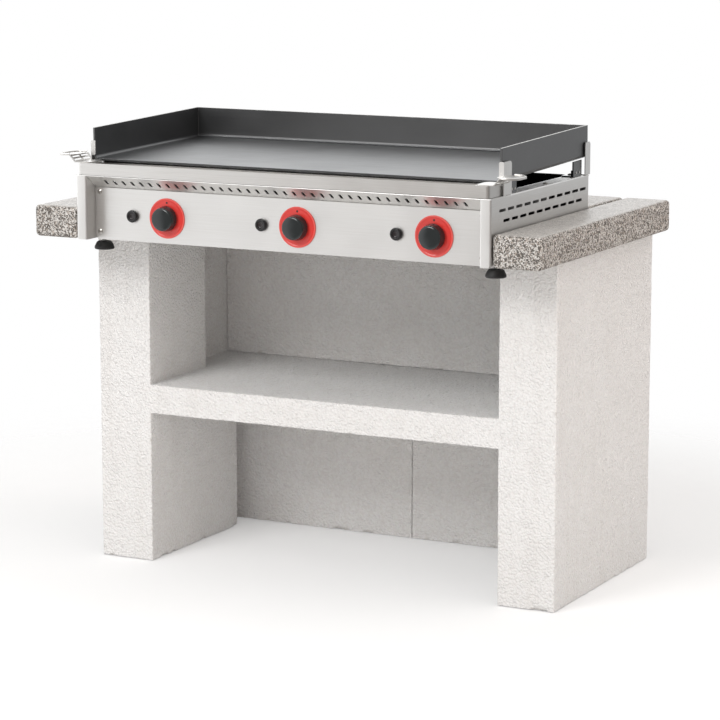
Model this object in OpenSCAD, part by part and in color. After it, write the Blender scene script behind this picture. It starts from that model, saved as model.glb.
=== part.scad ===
// A three-burner gas griddle on a masonry stand with two side worktops and one at the back.
// Millimetres. X runs to the user's right, Y away from the user, Z up.
// The origin lies on the floor, under the middle of the whole object.

/* [Masonry stand] */
// Gap between the cabinet's sides and the inner faces of the outer leg boards
leg_gap = 0.5; // [0.5:0.5:8]
// Depth of the outer leg boards, front to back
stand_d = 434; // [420:1:520]
// Height of the stand, up to the underside of the worktops
stand_h = 612; // [500:1:900]
// Thickness of every aerated concrete board
board_t = 54; // [44:1:62]
// Height of the shelf's top surface
shelf_z = 330; // [200:1:400]
// Depth of the lower inner leg boards that carry the shelf
lower_board_d = 317; // [200:1:350]
// Distance of the upper inner leg boards from the griddle's rear feet
foot_clear = 10; // [5:1:40]
// Distance of the back boards from the legs' rear edges
back_inset = 6; // [0:1:30]

/* [Worktops] */
// Thickness of the stone-chip worktop slabs
slab_t = 56; // [40:1:70]
// Width of each side slab
slab_w = 88; // [70:1:200]
// How far the side slabs and the griddle stand out in front of the legs
overhang = 153; // [80:1:170]
// Distance of the slabs' back edges from the stand's rear face
slab_inset = 5; // [0:1:30]
// Gap between the griddle and the slabs round it
slab_gap = 1.5; // [1:0.5:5]
// Open joint between the back slab and each side slab
slab_joint = 2; // [1:0.5:6]
// Radius along the edges of the slabs
slab_r = 8; // [3:1:14]

/* [Griddle cabinet] */
// Width of the stainless cabinet
body_w = 800; // [790:1:840]
// Depth of the cabinet
body_d = 413; // [400:1:420]
// Height of the cabinet
body_h = 114; // [110:1:130]
// Thickness of the stainless sheet
sheet_t = 1.5; // [1:0.1:2]
// Outer bend radius of the folded sheet
fold_r = 3; // [2.5:0.1:5]
// Width of the column at each end of the front
column_w = 20.5; // [16:0.5:30]
// Depth of the control panel behind the front of the columns
panel_recess = 30.5; // [24:0.5:36]
// Height of the control panel
panel_h = 92; // [86:1:94]
// Width of the flange along the top of each side
top_flange = 27; // [20:1:34]
// Width of the flange along the bottom of each side
bottom_flange = 40; // [34:1:50]
// Distance from one vent slot to the next
vent_pitch = 34; // [30:0.5:34]
// Length of a vent slot
vent_l = 26; // [12:1:27]
// Height of a vent slot
vent_h = 5; // [3:0.5:8]
// Distance from one slot of the strip to the next
strip_pitch = 17.8; // [12:0.1:18]
// Width of a slot of the strip
strip_slot_w = 5; // [3:0.5:8]
// Length of a slot of the strip
strip_slot_l = 15; // [10:1:20]

/* [Griddle plate] */
// Distance of the griddle plate's side walls inside the cabinet's sides
plate_inset = 4; // [3.5:0.5:5]
// How far the griddle plate reaches past the back of the cabinet
plate_overhang = 2.5; // [-4:0.5:3]
// Thickness of the griddle plate and its walls
plate_t = 4; // [3:0.5:8]
// Height of the walls over the cooking surface
plate_wall_h = 54; // [30:1:80]
// Outer bend radius between the plate and its walls
plate_r = 10; // [9:1:20]
// Height of the plate's underside over the cabinet, at the front edge
plate_lift = 20.5; // [20:0.5:40]
// Fall of the plate towards the grease tray, in degrees
plate_fall = 1.25; // [0:0.05:2]
// Distance of the plate's front edge behind the front of the cabinet
plate_setback = 52.5; // [44:0.5:58]

/* [Grease tray] */
// Distance of the grease tray's ends inside the cabinet's sides
tray_inset = 4; // [3:0.5:8]
// Depth of the grease tray, front to back
tray_d = 64; // [60:1:72]
// Height of the grease tray
tray_h = 21; // [17:0.5:21]
// Thickness of the tray's sheet
tray_t = 1.2; // [0.8:0.1:2]
// Width of a tray handle, front to back
handle_w = 60; // [50:1:60]
// Reach of the grip beyond the windowed slope
grip_l = 28; // [24:1:50]
// Thickness of the handle's sheet
handle_t = 1.5; // [1:0.1:2.5]

/* [Controls] */
// Distance from one burner control to the next
control_pitch = 258; // [230:1:258]
// Distance of the middle knob to the right of the cabinet's middle
knob_x = 25; // [0:1:30]
// Distance of each igniter button to the left of its knob
igniter_x = 69.5; // [50:0.5:80]
// Diameter of a knob at its back
knob_d = 45; // [36:1:50]
// Length of a knob
knob_l = 17; // [15:0.5:22]
// Gap between a knob and its bezel, more than its push
knob_gap = 3.5; // [3.5:0.5:6]
// Diameter of a bezel
bezel_d = 70.5; // [60:0.5:80]
// Thickness of a bezel
bezel_t = 2; // [1.5:0.5:4]
// Diameter of a valve stem
stem_d = 8; // [6:0.5:8]
// Diameter of the igniter's ring
igniter_d = 22; // [20:0.5:26]
// Diameter of an igniter button
button_d = 12; // [10:0.5:14]
// Travel of an igniter button
button_travel = 4; // [3:0.5:6]
// Radial clearance of each sliding or turning fit
fit_gap = 0.06; // [0.02:0.01:0.1]

/* [Burners and gas line] */
// Distance between the two long tubes of a burner
burner_w = 150; // [120:1:170]
// Outer diameter of the burner tubes
burner_d = 22; // [18:1:26]
// Wall of the burner tubes
burner_wall = 1.5; // [1:0.1:2]
// Number of flame ports along each burner tube
port_n = 12; // [4:1:16]
// Diameter of a flame port
port_d = 3; // [2:0.5:5]
// Diameter of the gas manifold
manifold_d = 16; // [12:1:16]
// Diameter of the half-inch pipe thread at the gas inlet
inlet_d = 20.955; // [16.662,20.955]
// Length of the threaded inlet
inlet_l = 20; // [15:1:25]

/* [Feet] */
// Diameter of a rubber foot at the bottom
foot_d = 36; // [28:1:36]
// Height of a rubber foot
foot_h = 14; // [8:1:16]
// Drop of each foot's bottom under the cabinet
foot_drop = 23.5; // [20:0.5:30]

/* [Hidden] */
$fn = 48;
eps = 0.01;
touch = 0.3;

front_y = -(overhang + stand_d) / 2;
leg_y = front_y + overhang;
rear_y = leg_y + stand_d;
body_x = body_w / 2;
outer_x = body_x + leg_gap;
leg_x = outer_x + board_t;
inner_x = outer_x - board_t;
shelf_bottom = shelf_z - board_t;
back_y = rear_y - back_inset - board_t;

body_z = stand_h;
top_z = body_z + body_h;
body_back = front_y + body_d;
slab_x = body_x + slab_gap;
slab_top = stand_h + slab_t;
slab_back = rear_y - slab_inset;

column_x = body_x - column_w;
panel_y = front_y + panel_recess;
panel_bottom = body_z - 2;
panel_top = panel_bottom + panel_h;
panel_gap = 3;
panel_x = column_x - panel_gap;
tab_w = 16;
screw_x = panel_x - 6;
screw_inset = 8;
screw_lift = 14;
screw_r = 2;
head_r = 4.5;
rail_d = tray_d - 4;
rear_lip = 15;

vent_start = 45.5;
vent_end = 27.5;
vent_drop = 23;
vent_row = 18;
vent_n = floor((body_d - vent_start - vent_end) / vent_pitch) + 1;
strip_margin = 29;
strip_n = floor(2 * (column_x - strip_margin) / strip_pitch) + 1;

plate_y = front_y + plate_setback;
plate_z = top_z + plate_lift;
plate_x = body_x - plate_inset;
plate_high = plate_t + plate_wall_h;
plate_back = body_back + plate_overhang;
plate_d = plate_back - plate_y;
plate_lean = plate_high * sin(plate_fall);
post_h = 56;
post_w = 32;
rear_post_w = 22;
post_lip = 9;
post_lip_h = 26;
post_foot = 14;
rest_t = 2.5;
rest_w = 26;
rear_rest_w = 37;
rest_foot = 18;
rest_leg_h = 12;
rivet_r = 1.5;
rest_gap = 0.2;

tray_z = top_z + touch;
tray_back = front_y + tray_d;
tray_x = body_x - tray_inset;
tray_l = 2 * tray_x;
tray_rear_h = tray_h - 5;
tray_gap = 5;
handle_y = front_y + 1;
handle_z = tray_z + tray_h;
handle_x = body_x + 4;
slope_out = 11;
slope_up = 11.5;
slope_l = sqrt(slope_out * slope_out + slope_up * slope_up);
slope_a = atan2(slope_up, slope_out);
seat_in = 25;
grip_fall = 3;
grip_r = 20;
window_bar = 2.8;
window_edge = 4.5;
rim_r = 1.6;

control_x = [for (i = [-1 : 1]) knob_x + i * control_pitch];
knob_z = panel_bottom + 44.5;
knob_back = panel_y - bezel_t - knob_gap;
knob_front = knob_back - knob_l;
knob_r = knob_d / 2;
knob_bore = knob_l - 3;
bezel_r = bezel_d / 2;
stem_r = stem_d / 2;
stem_hole_r = stem_r + 2.5;
valve_r = 11;
valve_front = panel_y + sheet_t + 4;
valve_l = 37;
valve_wall = 4;
valve_bore_l = 13;
ring_t = 1.6;
push = 3;
shoulder_r = stem_r + 2.4;
shoulder_y = valve_front + valve_wall + 0.1;
shoulder_t = 3;

igniter_r = igniter_d / 2;
barrel_r = button_d / 2 + 1.3;
button_r = button_d / 2;
ring_out = 6.5;
button_sunk = 1.2;
button_l = 16;
button_front = panel_y - ring_out + button_sunk;
housing_r = 9;
housing_end = panel_y + 50;

box_rim = 24;
baffle_gap = 1.5;
box_x = body_x - top_flange - 5;
box_front = housing_end + 10;
box_back = body_back - 5;
box_floor = body_z + 28;
box_top = top_z - sheet_t;
burner_r = burner_d / 2;
burner_z = box_top - burner_r - 13.5;
burner_pitch = 2 * box_x / 3;
burner_x = [for (i = [-1 : 1]) i * burner_pitch];
cross_y = box_front + 32;
burner_back = box_back - 26;
venturi_r = burner_r + 3;
venturi_y = box_front - 6;
port_start = 22;

manifold_r = manifold_d / 2;
manifold_y = valve_front + 18;
manifold_z = body_z + 18;
manifold_end = 20;
saddle_in = 40;
supply_x = control_x[2] + manifold_end + 7;
supply_y = leg_y + 30;
elbow_r = 14;
inlet_r = inlet_d / 2;
collar_h = 6;
base_z = body_z + sheet_t;
low_x = body_x - fold_r - touch;
louvre_margin = 60;
air_margin = 80;
electrode_y = cross_y - burner_r - 8;
lead_r = 1.8;
lead_bend = 6;
lead_z = box_floor - 14;

foot_r = foot_d / 2;
foot_x = body_x - foot_r;
foot_front = front_y + 61;
foot_rear = body_back - foot_r - 12;
upper_board_back = foot_rear - foot_r - foot_clear;
foot_z = body_z - foot_drop;
stud_r = 4;

// A box from one corner to the opposite corner.
module block(low, high) {
    translate(low) cube(high - low);
}

// A round bar along Y, from y0 to y1.
module bar_y(x, z, r, y0, y1) {
    translate([x, y0, z]) rotate([-90, 0, 0]) cylinder(r = r, h = y1 - y0);
}

// A round bar along X, from x0 to x1.
module bar_x(y, z, r, x0, x1) {
    translate([x0, y, z]) rotate([0, 90, 0]) cylinder(r = r, h = x1 - x0);
}

// A flat rectangle with four round corners.
module round_rect(w, h, r) {
    translate([r, 0]) square([w - 2 * r, h]);
    translate([0, r]) square([w, h - 2 * r]);
    for (x = [r, w - r], y = [r, h - r]) translate([x, y]) circle(r);
}

// A slab whose edges are all rounded: what three rounded prisms share.
module round_block(low, high, r) {
    size = high - low;
    translate(low) intersection() {
        linear_extrude(size.z) round_rect(size.x, size.y, r);
        translate([0, size.y, 0]) rotate([90, 0, 0])
            linear_extrude(size.y) round_rect(size.x, size.z, r);
        rotate([90, 0, 90]) linear_extrude(size.x) round_rect(size.y, size.z, r);
    }
}

// The quarter of a bent sheet round a corner, seen flat. qx and qy say which quarter.
module bend(cx, cy, qx, qy) {
    translate([cx, cy]) intersection() {
        difference() {
            circle(fold_r);
            circle(fold_r - sheet_t);
        }
        translate([qx > 0 ? 0 : -fold_r, qy > 0 ? 0 : -fold_r]) square(fold_r);
    }
}

// A slot with round ends, l long along X and w wide along Y, cut down through depth.
module long_hole(l, w, depth) {
    cube([l - w, w, depth], center = true);
    for (x = [-1, 1]) translate([x * (l - w) / 2, 0, 0])
        cylinder(d = w, h = depth, center = true);
}

// A low domed screw head with its shank, pointing along +Z from the seat.
module screw(shank) {
    intersection() {
        cylinder(r = head_r, h = 2.4);
        translate([0, 0, 2.4 - 9]) sphere(9);
    }
    translate([0, 0, -shank]) cylinder(r = screw_r - 0.1, h = shank + eps);
}

// The masonry boards.
module board(low, high) {
    color("whitesmoke") block(low, high);
}
module right_outer_wall() {
    board([outer_x, leg_y, 0], [leg_x, rear_y, stand_h]);
}
module left_outer_wall() {
    mirror([1, 0, 0]) right_outer_wall();
}
module right_lower_wall() {
    board([inner_x, leg_y, 0], [outer_x, leg_y + lower_board_d, shelf_bottom]);
}
module left_lower_wall() {
    mirror([1, 0, 0]) right_lower_wall();
}
module right_upper_wall() {
    board([inner_x, leg_y, shelf_z], [outer_x, upper_board_back, stand_h]);
}
module left_upper_wall() {
    mirror([1, 0, 0]) right_upper_wall();
}
module shelf() {
    board([-outer_x, leg_y, shelf_bottom], [outer_x, back_y + board_t, shelf_z]);
}
module right_back_board() {
    board([0, back_y, 0], [outer_x, back_y + board_t, shelf_bottom]);
}
module left_back_board() {
    mirror([1, 0, 0]) right_back_board();
}
module upper_back_board() {
    board([-outer_x, back_y, shelf_z], [outer_x, back_y + board_t, stand_h]);
}

// The worktop slabs.
module right_worktop() {
    color("darkgray") round_block([slab_x, front_y, stand_h],
        [slab_x + slab_w, slab_back, slab_top], slab_r);
}
module left_worktop() {
    mirror([1, 0, 0]) right_worktop();
}
module rear_worktop() {
    color("darkgray") round_block([-slab_x + slab_joint, body_back + slab_gap, stand_h],
        [slab_x - slab_joint, slab_back, slab_top], slab_r);
}

// The plan of the right side: rear lip, long wall, front column, return and screw tab.
module side_plan() {
    translate([body_x - sheet_t, front_y + fold_r])
        square([sheet_t, body_d - 2 * fold_r]);
    bend(body_x - fold_r, body_back - fold_r, 1, 1);
    translate([body_x - rear_lip, body_back - sheet_t])
        square([rear_lip - fold_r, sheet_t]);
    bend(body_x - fold_r, front_y + fold_r, 1, -1);
    translate([column_x + fold_r, front_y]) square([column_w - 2 * fold_r, sheet_t]);
    bend(column_x + fold_r, front_y + fold_r, -1, -1);
    translate([column_x, front_y + fold_r])
        square([sheet_t, panel_recess + 2 * sheet_t - fold_r]);
    translate([column_x - tab_w, panel_y + sheet_t]) square([tab_w + eps, sheet_t]);
}

// The section of a side's edge flange: the bend over the wall and the flat that runs inward.
module flange_section(w) {
    bend(body_x - fold_r, -fold_r, 1, 1);
    translate([body_x - w, -sheet_t]) square([w - fold_r, sheet_t]);
}

// Where the plate's rests start along Y, and the X of their webs' inner faces.
rest_front_y = plate_y + post_w + 2;
rest_rear_y = plate_back - rear_post_w - rear_rest_w - 2;
web_x = plate_x - rest_t - 1;
rests = [[rest_front_y, rest_w], [rest_rear_y, rear_rest_w]];

// The screws in each side's top flange: two bare ones between the rests, and one through
// each rest's foot.
screw_gap = 2.8;
first_screw = rest_front_y + rest_w + head_r + screw_gap;
flange_screws = [for (y = [first_screw, first_screw + 0.542 * (rest_rear_y - first_screw)])
    [body_x - 11, y, 0]];
rest_screws = [for (r = rests) [web_x - rest_t - rest_foot / 2, r[0] + r[1] / 2, rest_t]];
top_screws = concat(flange_screws, rest_screws);

module right_side_panel() {
    rail_y = front_y + rail_d + touch;
    color("silver") difference() {
        union() {
            translate([0, 0, body_z + fold_r])
                linear_extrude(top_z - sheet_t - body_z - fold_r) side_plan();
            intersection() {
                translate([0, 0, body_z]) linear_extrude(fold_r + eps) side_plan();
                block([0, front_y - 1, body_z], [body_x - fold_r, body_back + 1, top_z]);
            }
            translate([0, body_back, top_z]) rotate([90, 0, 0])
                linear_extrude(body_back - rail_y) flange_section(top_flange);
            translate([0, front_y + fold_r, body_z]) rotate([-90, 0, 0])
                linear_extrude(body_d - 2 * fold_r) flange_section(bottom_flange);
        }
        // The screw tab ends under the sloping strip.
        block([column_x - tab_w - 1, panel_y + sheet_t - eps, panel_top - touch],
              [column_x, panel_y + 3 * sheet_t, top_z]);
        // The bottom flange leaves room for the end of the control panel.
        block([body_x - bottom_flange - 1, front_y - 1, body_z - 1],
              [column_x, panel_y + 2 * sheet_t + touch, body_z + sheet_t + touch]);
        // The long wall stops under the bend of the top flange, behind the front rail.
        translate([body_x - fold_r, rail_y, top_z - fold_r]) difference() {
            cube([fold_r + 1, body_d, fold_r + 1]);
            translate([0, -1, 0]) rotate([-90, 0, 0]) cylinder(r = fold_r, h = body_d + 2);
        }
        for (row = [0, 1], i = [0 : vent_n - 1 - row])
            translate([body_x, front_y + vent_start + (i + row / 2) * vent_pitch,
                       top_z - vent_drop - row * vent_row])
                rotate([90, 0, 90]) long_hole(vent_l, vent_h, 4 * sheet_t);
        for (z = [panel_top - screw_inset, panel_bottom + screw_lift])
            bar_y(screw_x, z, screw_r, panel_y, panel_y + 4 * sheet_t);
        for (p = top_screws)
            translate([p.x, p.y, top_z - 3 * sheet_t]) cylinder(r = screw_r, h = 4 * sheet_t);
    }
}
module left_side_panel() {
    mirror([1, 0, 0]) right_side_panel();
}

// The front rail: a ledge for the grease tray, and a slotted strip that slopes down and back.
module front_rail() {
    lip = 12;
    strip_rise = top_z - panel_top - sheet_t;
    strip_run = panel_recess - sheet_t;
    strip_l = sqrt(strip_rise * strip_rise + strip_run * strip_run);
    strip_a = atan2(strip_rise, strip_run);
    color("silver") difference() {
        union() {
            block([-body_x, front_y + sheet_t, top_z - sheet_t],
                  [body_x, front_y + rail_d, top_z]);
            intersection() {
                bar_x(front_y + sheet_t, top_z - sheet_t, sheet_t, -body_x, body_x);
                block([-body_x, front_y, top_z - sheet_t],
                      [body_x, front_y + sheet_t + eps, top_z]);
            }
            // The strip's section: it runs from the ledge's front edge to the panel's top,
            // then down behind the panel.
            translate([-column_x + touch, 0, 0]) rotate([90, 0, 90])
                linear_extrude(2 * column_x - 2 * touch) polygon([
                    [front_y, top_z - sheet_t + eps],
                    [panel_y + sheet_t, panel_top],
                    [panel_y + sheet_t, panel_top - lip],
                    [panel_y + 2 * sheet_t, panel_top - lip],
                    [panel_y + 2 * sheet_t, panel_top + 1],
                    [front_y + 3 * sheet_t, top_z - sheet_t + eps]]);
        }
        for (i = [0 : strip_n - 1])
            translate([(i - (strip_n - 1) / 2) * strip_pitch, front_y + strip_run / 2 + sheet_t,
                       top_z - sheet_t - strip_rise / 2])
                rotate([-strip_a, 0, 0]) rotate([0, 0, 90])
                    long_hole(min(strip_slot_l, strip_l / 2), strip_slot_w, 9);
        // The lip clears the screw tabs of both sides.
        for (side = [-1, 1]) translate([side * (column_x - tab_w / 2), panel_y + sheet_t * 1.5, 0])
            translate([-tab_w / 2 - 1, -sheet_t * 0.5 - eps, panel_top - lip - 1])
                cube([tab_w + 2, sheet_t + 1, lip + 1]);
    }
}

module control_panel() {
    color("gainsboro") difference() {
        translate([-panel_x, panel_y + sheet_t, panel_bottom]) rotate([90, 0, 0])
            linear_extrude(sheet_t) round_rect(2 * panel_x, panel_h, 2);
        for (x = control_x) {
            bar_y(x, knob_z, stem_hole_r, panel_y - 1, panel_y + sheet_t + 1);
            bar_y(x - igniter_x, knob_z, barrel_r + 0.2, panel_y - 1, panel_y + sheet_t + 1);
        }
        for (side = [-1, 1], z = [panel_top - screw_inset, panel_bottom + screw_lift])
            bar_y(side * screw_x, z, screw_r, panel_y - 1, panel_y + sheet_t + 1);
    }
}

module rear_panel() {
    louvre_n = 12;
    louvre_pitch = (body_w - 2 * louvre_margin) / louvre_n;
    color("silver") difference() {
        block([-low_x, body_back - 2 * sheet_t, base_z + sheet_t],
              [low_x, body_back - sheet_t, top_z - fold_r - 1]);
        for (i = [0 : louvre_n - 1])
            translate([(i - (louvre_n - 1) / 2) * louvre_pitch, body_back,
                       top_z - vent_drop - vent_row / 2])
                rotate([90, 0, 0]) long_hole(louvre_pitch * 0.7, vent_h * 1.6, 6 * sheet_t);
    }
}

// The pan that closes the cabinet from below, with two rows of air slots.
module base_pan() {
    air_n = 8;
    air_pitch = (body_w - 2 * air_margin) / air_n;
    color("silver") difference() {
        block([-low_x, panel_y + 2 * sheet_t + touch, base_z],
              [low_x, body_back - 2 * sheet_t, base_z + sheet_t]);
        for (i = [0 : air_n - 1], y = [leg_y + 70, leg_y + 150])
            translate([(i - (air_n - 1) / 2) * air_pitch, y, base_z])
                long_hole(air_pitch * 0.75, 12, 4 * sheet_t);
        translate([supply_x, supply_y, body_z - 1])
            cylinder(r = inlet_r - 0.7, h = 4 * sheet_t + 1);
    }
}

// The black box round the burners. Its rims hang under the side flanges, and in front it
// steps forward to a baffle that keeps the flames off the grease tray.
module burner_box() {
    baffle_y = tray_back + 1;
    baffle_top = plate_z + (baffle_y - plate_y) * tan(plate_fall) - baffle_gap;
    baffle_x = body_x - top_flange - touch;
    wing_x = body_x - post_foot - sheet_t - touch;
    color("dimgray") difference() {
        union() {
            block([-box_x, box_front, box_floor], [box_x, box_back, box_top]);
            block([-box_x - box_rim, box_front + 20, box_top - sheet_t],
                  [box_x + box_rim, box_back, box_top]);
            block([-baffle_x, baffle_y, box_top - sheet_t],
                  [baffle_x, box_front + sheet_t, box_top]);
            block([-baffle_x, baffle_y, box_top - sheet_t],
                  [baffle_x, baffle_y + sheet_t, baffle_top]);
            block([-wing_x, baffle_y, top_z + touch], [wing_x, baffle_y + sheet_t, baffle_top]);
        }
        block([-box_x + sheet_t, box_front + sheet_t, box_floor + sheet_t],
              [box_x - sheet_t, box_back - sheet_t, box_top + 1]);
        for (x = control_x) {
            bar_y(x, burner_z, venturi_r + 1, box_front - 1, box_front + sheet_t + 1);
            translate([x - igniter_x, electrode_y, box_floor - 1])
                cylinder(r = 4, h = sheet_t + 2);
        }
        for (side = [-1, 1], p = top_screws)
            translate([side * p.x, p.y, box_top - sheet_t - 1])
                cylinder(r = screw_r, h = sheet_t + 2);
    }
}

// The plate's own frame: origin under the middle of the front edge, tilted with its fall.
module plate_frame() {
    translate([0, plate_y, plate_z]) rotate([plate_fall, 0, 0]) children();
}

// The outside (grow 0) or the inside of the open-fronted pan that the plate forms.
module pan_form(inset) {
    r = plate_r - inset;
    half = plate_x - inset;
    back = plate_d - inset;
    front = inset > 0 ? -1 : 0;
    high = plate_high + (inset > 0 ? 1 : 0);
    intersection() {
        translate([0, back, 0]) rotate([90, 0, 0]) linear_extrude(back - front) {
            translate([-half, inset + r]) square([2 * half, high - inset - r]);
            translate([-half + r, inset]) square([2 * (half - r), r + eps]);
            for (x = [-1, 1]) translate([x * (half - r), inset + r]) circle(r);
        }
        translate([-half, 0, 0]) rotate([90, 0, 90]) linear_extrude(2 * half) {
            translate([front, inset + r]) square([back - front, high - inset - r]);
            translate([front, inset]) square([back - front - r, r + eps]);
            translate([back - r, inset + r]) circle(r);
        }
    }
}
module griddle_plate() {
    color("#2b2b2b") plate_frame() difference() {
        pan_form(0);
        pan_form(plate_t);
    }
}

// Everything under the plate's underside, less the gap of the rests.
module below_plate() {
    plate_frame() translate([-body_w, -body_d, -body_h - rest_gap])
        cube([2 * body_w, 3 * body_d, body_h]);
}

// A flat strip standing in the side's plane, with round top corners.
module post_side(y0, w, h) {
    translate([body_x - sheet_t, y0, top_z]) rotate([90, 0, 90])
        linear_extrude(sheet_t) {
            square([w, h - 8]);
            translate([0, h - 20]) round_rect(w, 20, 7);
        }
}

// The front post keeps the plate from sliding forward with a short lip.
module right_front_post() {
    y0 = plate_y - sheet_t - touch - plate_lean * 0.7;
    color("silver") {
        post_side(y0, post_w, post_h);
        translate([body_x - post_lip, y0 + sheet_t, top_z + post_h - post_lip_h])
            rotate([90, 0, 0]) linear_extrude(sheet_t) round_rect(post_lip, post_lip_h, 3);
        translate([body_x - post_foot - sheet_t, tray_back + 1, top_z])
            cube([post_foot + eps, y0 + post_w - tray_back - 3, sheet_t]);
    }
}
module left_front_post() {
    mirror([1, 0, 0]) right_front_post();
}
module right_rear_post() {
    y1 = plate_back + sheet_t + touch + 0.5;
    color("silver") {
        post_side(y1 - rear_post_w, rear_post_w, post_h + 2);
        translate([body_x - post_lip, y1, top_z + 8]) rotate([90, 0, 0])
            linear_extrude(sheet_t) round_rect(post_lip, post_h - 8, 3);
        translate([body_x - post_foot - sheet_t, y1 - rear_post_w + 1, top_z])
            cube([post_foot + eps, rear_post_w - 8, sheet_t]);
    }
}
module left_rear_post() {
    mirror([1, 0, 0]) right_rear_post();
}

// Where the two rivets of a rest lie along Y.
function rivets(y0, w) = [y0 + 0.3 * w, y0 + 0.7 * w];

// One rest under a corner of the plate: an upright web riveted to a foot angle.
module plate_rest(y0, w) {
    leg_x = web_x - rest_t;
    intersection() {
        difference() {
            block([web_x, y0, top_z], [web_x + rest_t, y0 + w, top_z + body_h]);
            for (y = rivets(y0, w)) bar_x(y, top_z + 7, rivet_r, web_x - 1, web_x + rest_t + 1);
        }
        below_plate();
    }
    difference() {
        union() {
            block([leg_x, y0, top_z], [web_x, y0 + w, top_z + rest_leg_h]);
            block([leg_x - rest_foot, y0, top_z], [leg_x + eps, y0 + w, top_z + rest_t]);
        }
        for (y = rivets(y0, w)) bar_x(y, top_z + 7, rivet_r, leg_x - 1, web_x + 1);
        for (p = rest_screws) translate([p.x, p.y, top_z - 1]) cylinder(r = screw_r, h = 5);
    }
}
module plate_rests() {
    color("#222222") for (side = [0, 1], r = rests) mirror([side, 0, 0])
        plate_rest(r[0], r[1]);
}

// The outer (inset 0) or inner block of the tray, with round upright corners.
module tray_form(inset, low, high) {
    translate([-tray_x + inset, front_y + inset, low])
        linear_extrude(high - low)
            round_rect(tray_l - 2 * inset, tray_d - 2 * inset, 6 - inset);
}
module grease_tray() {
    bridge = 26;
    cut_y = plate_y - tray_gap;
    color("gainsboro") difference() {
        tray_form(0, tray_z, tray_z + tray_h);
        difference() {
            tray_form(tray_t, tray_z + tray_t, tray_z + tray_h + 1);
            // Each end keeps a short cover, the seat of its handle.
            for (side = [-1, 1]) translate([side * (tray_x - bridge / 2), front_y + tray_d / 2,
                                            tray_z + tray_h - tray_t / 2])
                cube([bridge, tray_d, tray_t], center = true);
        }
        // Behind the plate's front edge the tray is lower, so it slides under the plate.
        block([-tray_l, cut_y, tray_z + tray_rear_h], [tray_l, tray_back + 1, top_z + body_h]);
    }
}

// A handle: a seat on the tray's end, a slope with four windows and a rimmed round grip.
module right_tray_handle() {
    seat_w = plate_y - tray_gap - handle_y;
    seat_l = handle_x - tray_x + seat_in;
    window_l = (handle_w - 3 * window_edge) / 2;
    window_h = (slope_l - 3 * window_bar) / 2;
    color("gainsboro") {
        translate([handle_x - seat_l, handle_y, handle_z]) linear_extrude(handle_t) {
            translate([seat_l / 2, 0]) square([seat_l / 2, seat_w]);
            round_rect(seat_l, seat_w, 10);
        }
        translate([handle_x - 0.6, handle_y, handle_z]) rotate([0, -slope_a, 0]) difference() {
            cube([slope_l + 1, handle_w, handle_t]);
            for (i = [0, 1], j = [0, 1])
                translate([window_bar + 0.2 + i * (window_h + window_bar),
                           window_edge + j * (window_l + window_edge), -1])
                    cube([window_h, window_l, handle_t + 2]);
        }
        translate([handle_x + slope_out, handle_y, handle_z + slope_up])
            rotate([0, grip_fall, 0]) {
                linear_extrude(handle_t) {
                    square([grip_l - grip_r, handle_w]);
                    translate([grip_l - grip_r, grip_r])
                        square([grip_r, handle_w - 2 * grip_r]);
                    for (y = [grip_r, handle_w - grip_r])
                        translate([grip_l - grip_r, y]) circle(grip_r);
                }
                grip_rim();
            }
    }
}

// The rolled rim of a grip: two straight sides, two round corners and the outer end.
module grip_rim() {
    straight = grip_l - grip_r;
    side_z = handle_t + rim_r * 0.6;
    for (y = [rim_r, handle_w - rim_r]) bar_x(y, side_z, rim_r, 0, straight);
    for (side = [0, 1]) translate([straight, side ? handle_w - grip_r : grip_r, side_z])
        rotate([0, 0, side ? 0 : -90])
            rotate_extrude(angle = 90) translate([grip_r - rim_r, 0]) circle(rim_r);
    bar_y(grip_l - rim_r, side_z, rim_r, grip_r, handle_w - grip_r);
}
module left_tray_handle() {
    mirror([1, 0, 0]) right_tray_handle();
}

// The round bezel: a dished ring with an index mark at the top.
module bezel(x) {
    color("red") difference() {
        translate([x, panel_y, knob_z]) rotate([90, 0, 0]) rotate_extrude() polygon([
            [stem_hole_r, 0], [bezel_r, 0], [bezel_r, bezel_t - 0.4], [bezel_r - 0.6, bezel_t],
            [bezel_r - 2, bezel_t], [bezel_r - 3.2, bezel_t - 0.6],
            [stem_hole_r + 2, bezel_t - 0.9], [stem_hole_r, bezel_t - 0.9]]);
        bar_y(x, knob_z + bezel_r - 8, 2, panel_y - bezel_t - 1, panel_y - bezel_t + 1.2);
    }
}

// The stem's cross-section: round with one flat.
module d_section(r) {
    intersection() {
        circle(r);
        translate([-r, -r]) square([2 * r, 1.55 * r]);
    }
}

// A knob: slightly tapered, with a rounded front edge, a shallow index dot and a D-shaped bore.
module knob(x) {
    front_r = knob_r - 2;
    edge = 3.5;
    color("#26282a") difference() {
        translate([x, knob_back, knob_z]) rotate([90, 0, 0]) rotate_extrude() {
            polygon([[0, 0], [knob_r, 0], [knob_r, 2], [front_r, knob_l - edge],
                     [front_r - edge, knob_l - edge], [front_r - edge, knob_l], [0, knob_l]]);
            intersection() {
                translate([front_r - edge, knob_l - edge]) circle(edge);
                translate([front_r - edge, knob_l - edge]) square(edge);
            }
        }
        translate([x, knob_back + 1, knob_z]) rotate([90, 0, 0])
            linear_extrude(knob_bore + 1) d_section(stem_r + fit_gap);
        // The hollow back of the moulding, round its hub.
        translate([x, knob_back + 1, knob_z]) rotate([90, 0, 0]) difference() {
            cylinder(r = knob_r - 3.5, h = knob_l - edge - 3);
            cylinder(r = stem_r + 4, h = knob_l);
        }
        bar_y(x, knob_z + front_r - edge - 4, 2, knob_front - 1, knob_front + 0.5);
    }
}

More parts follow.
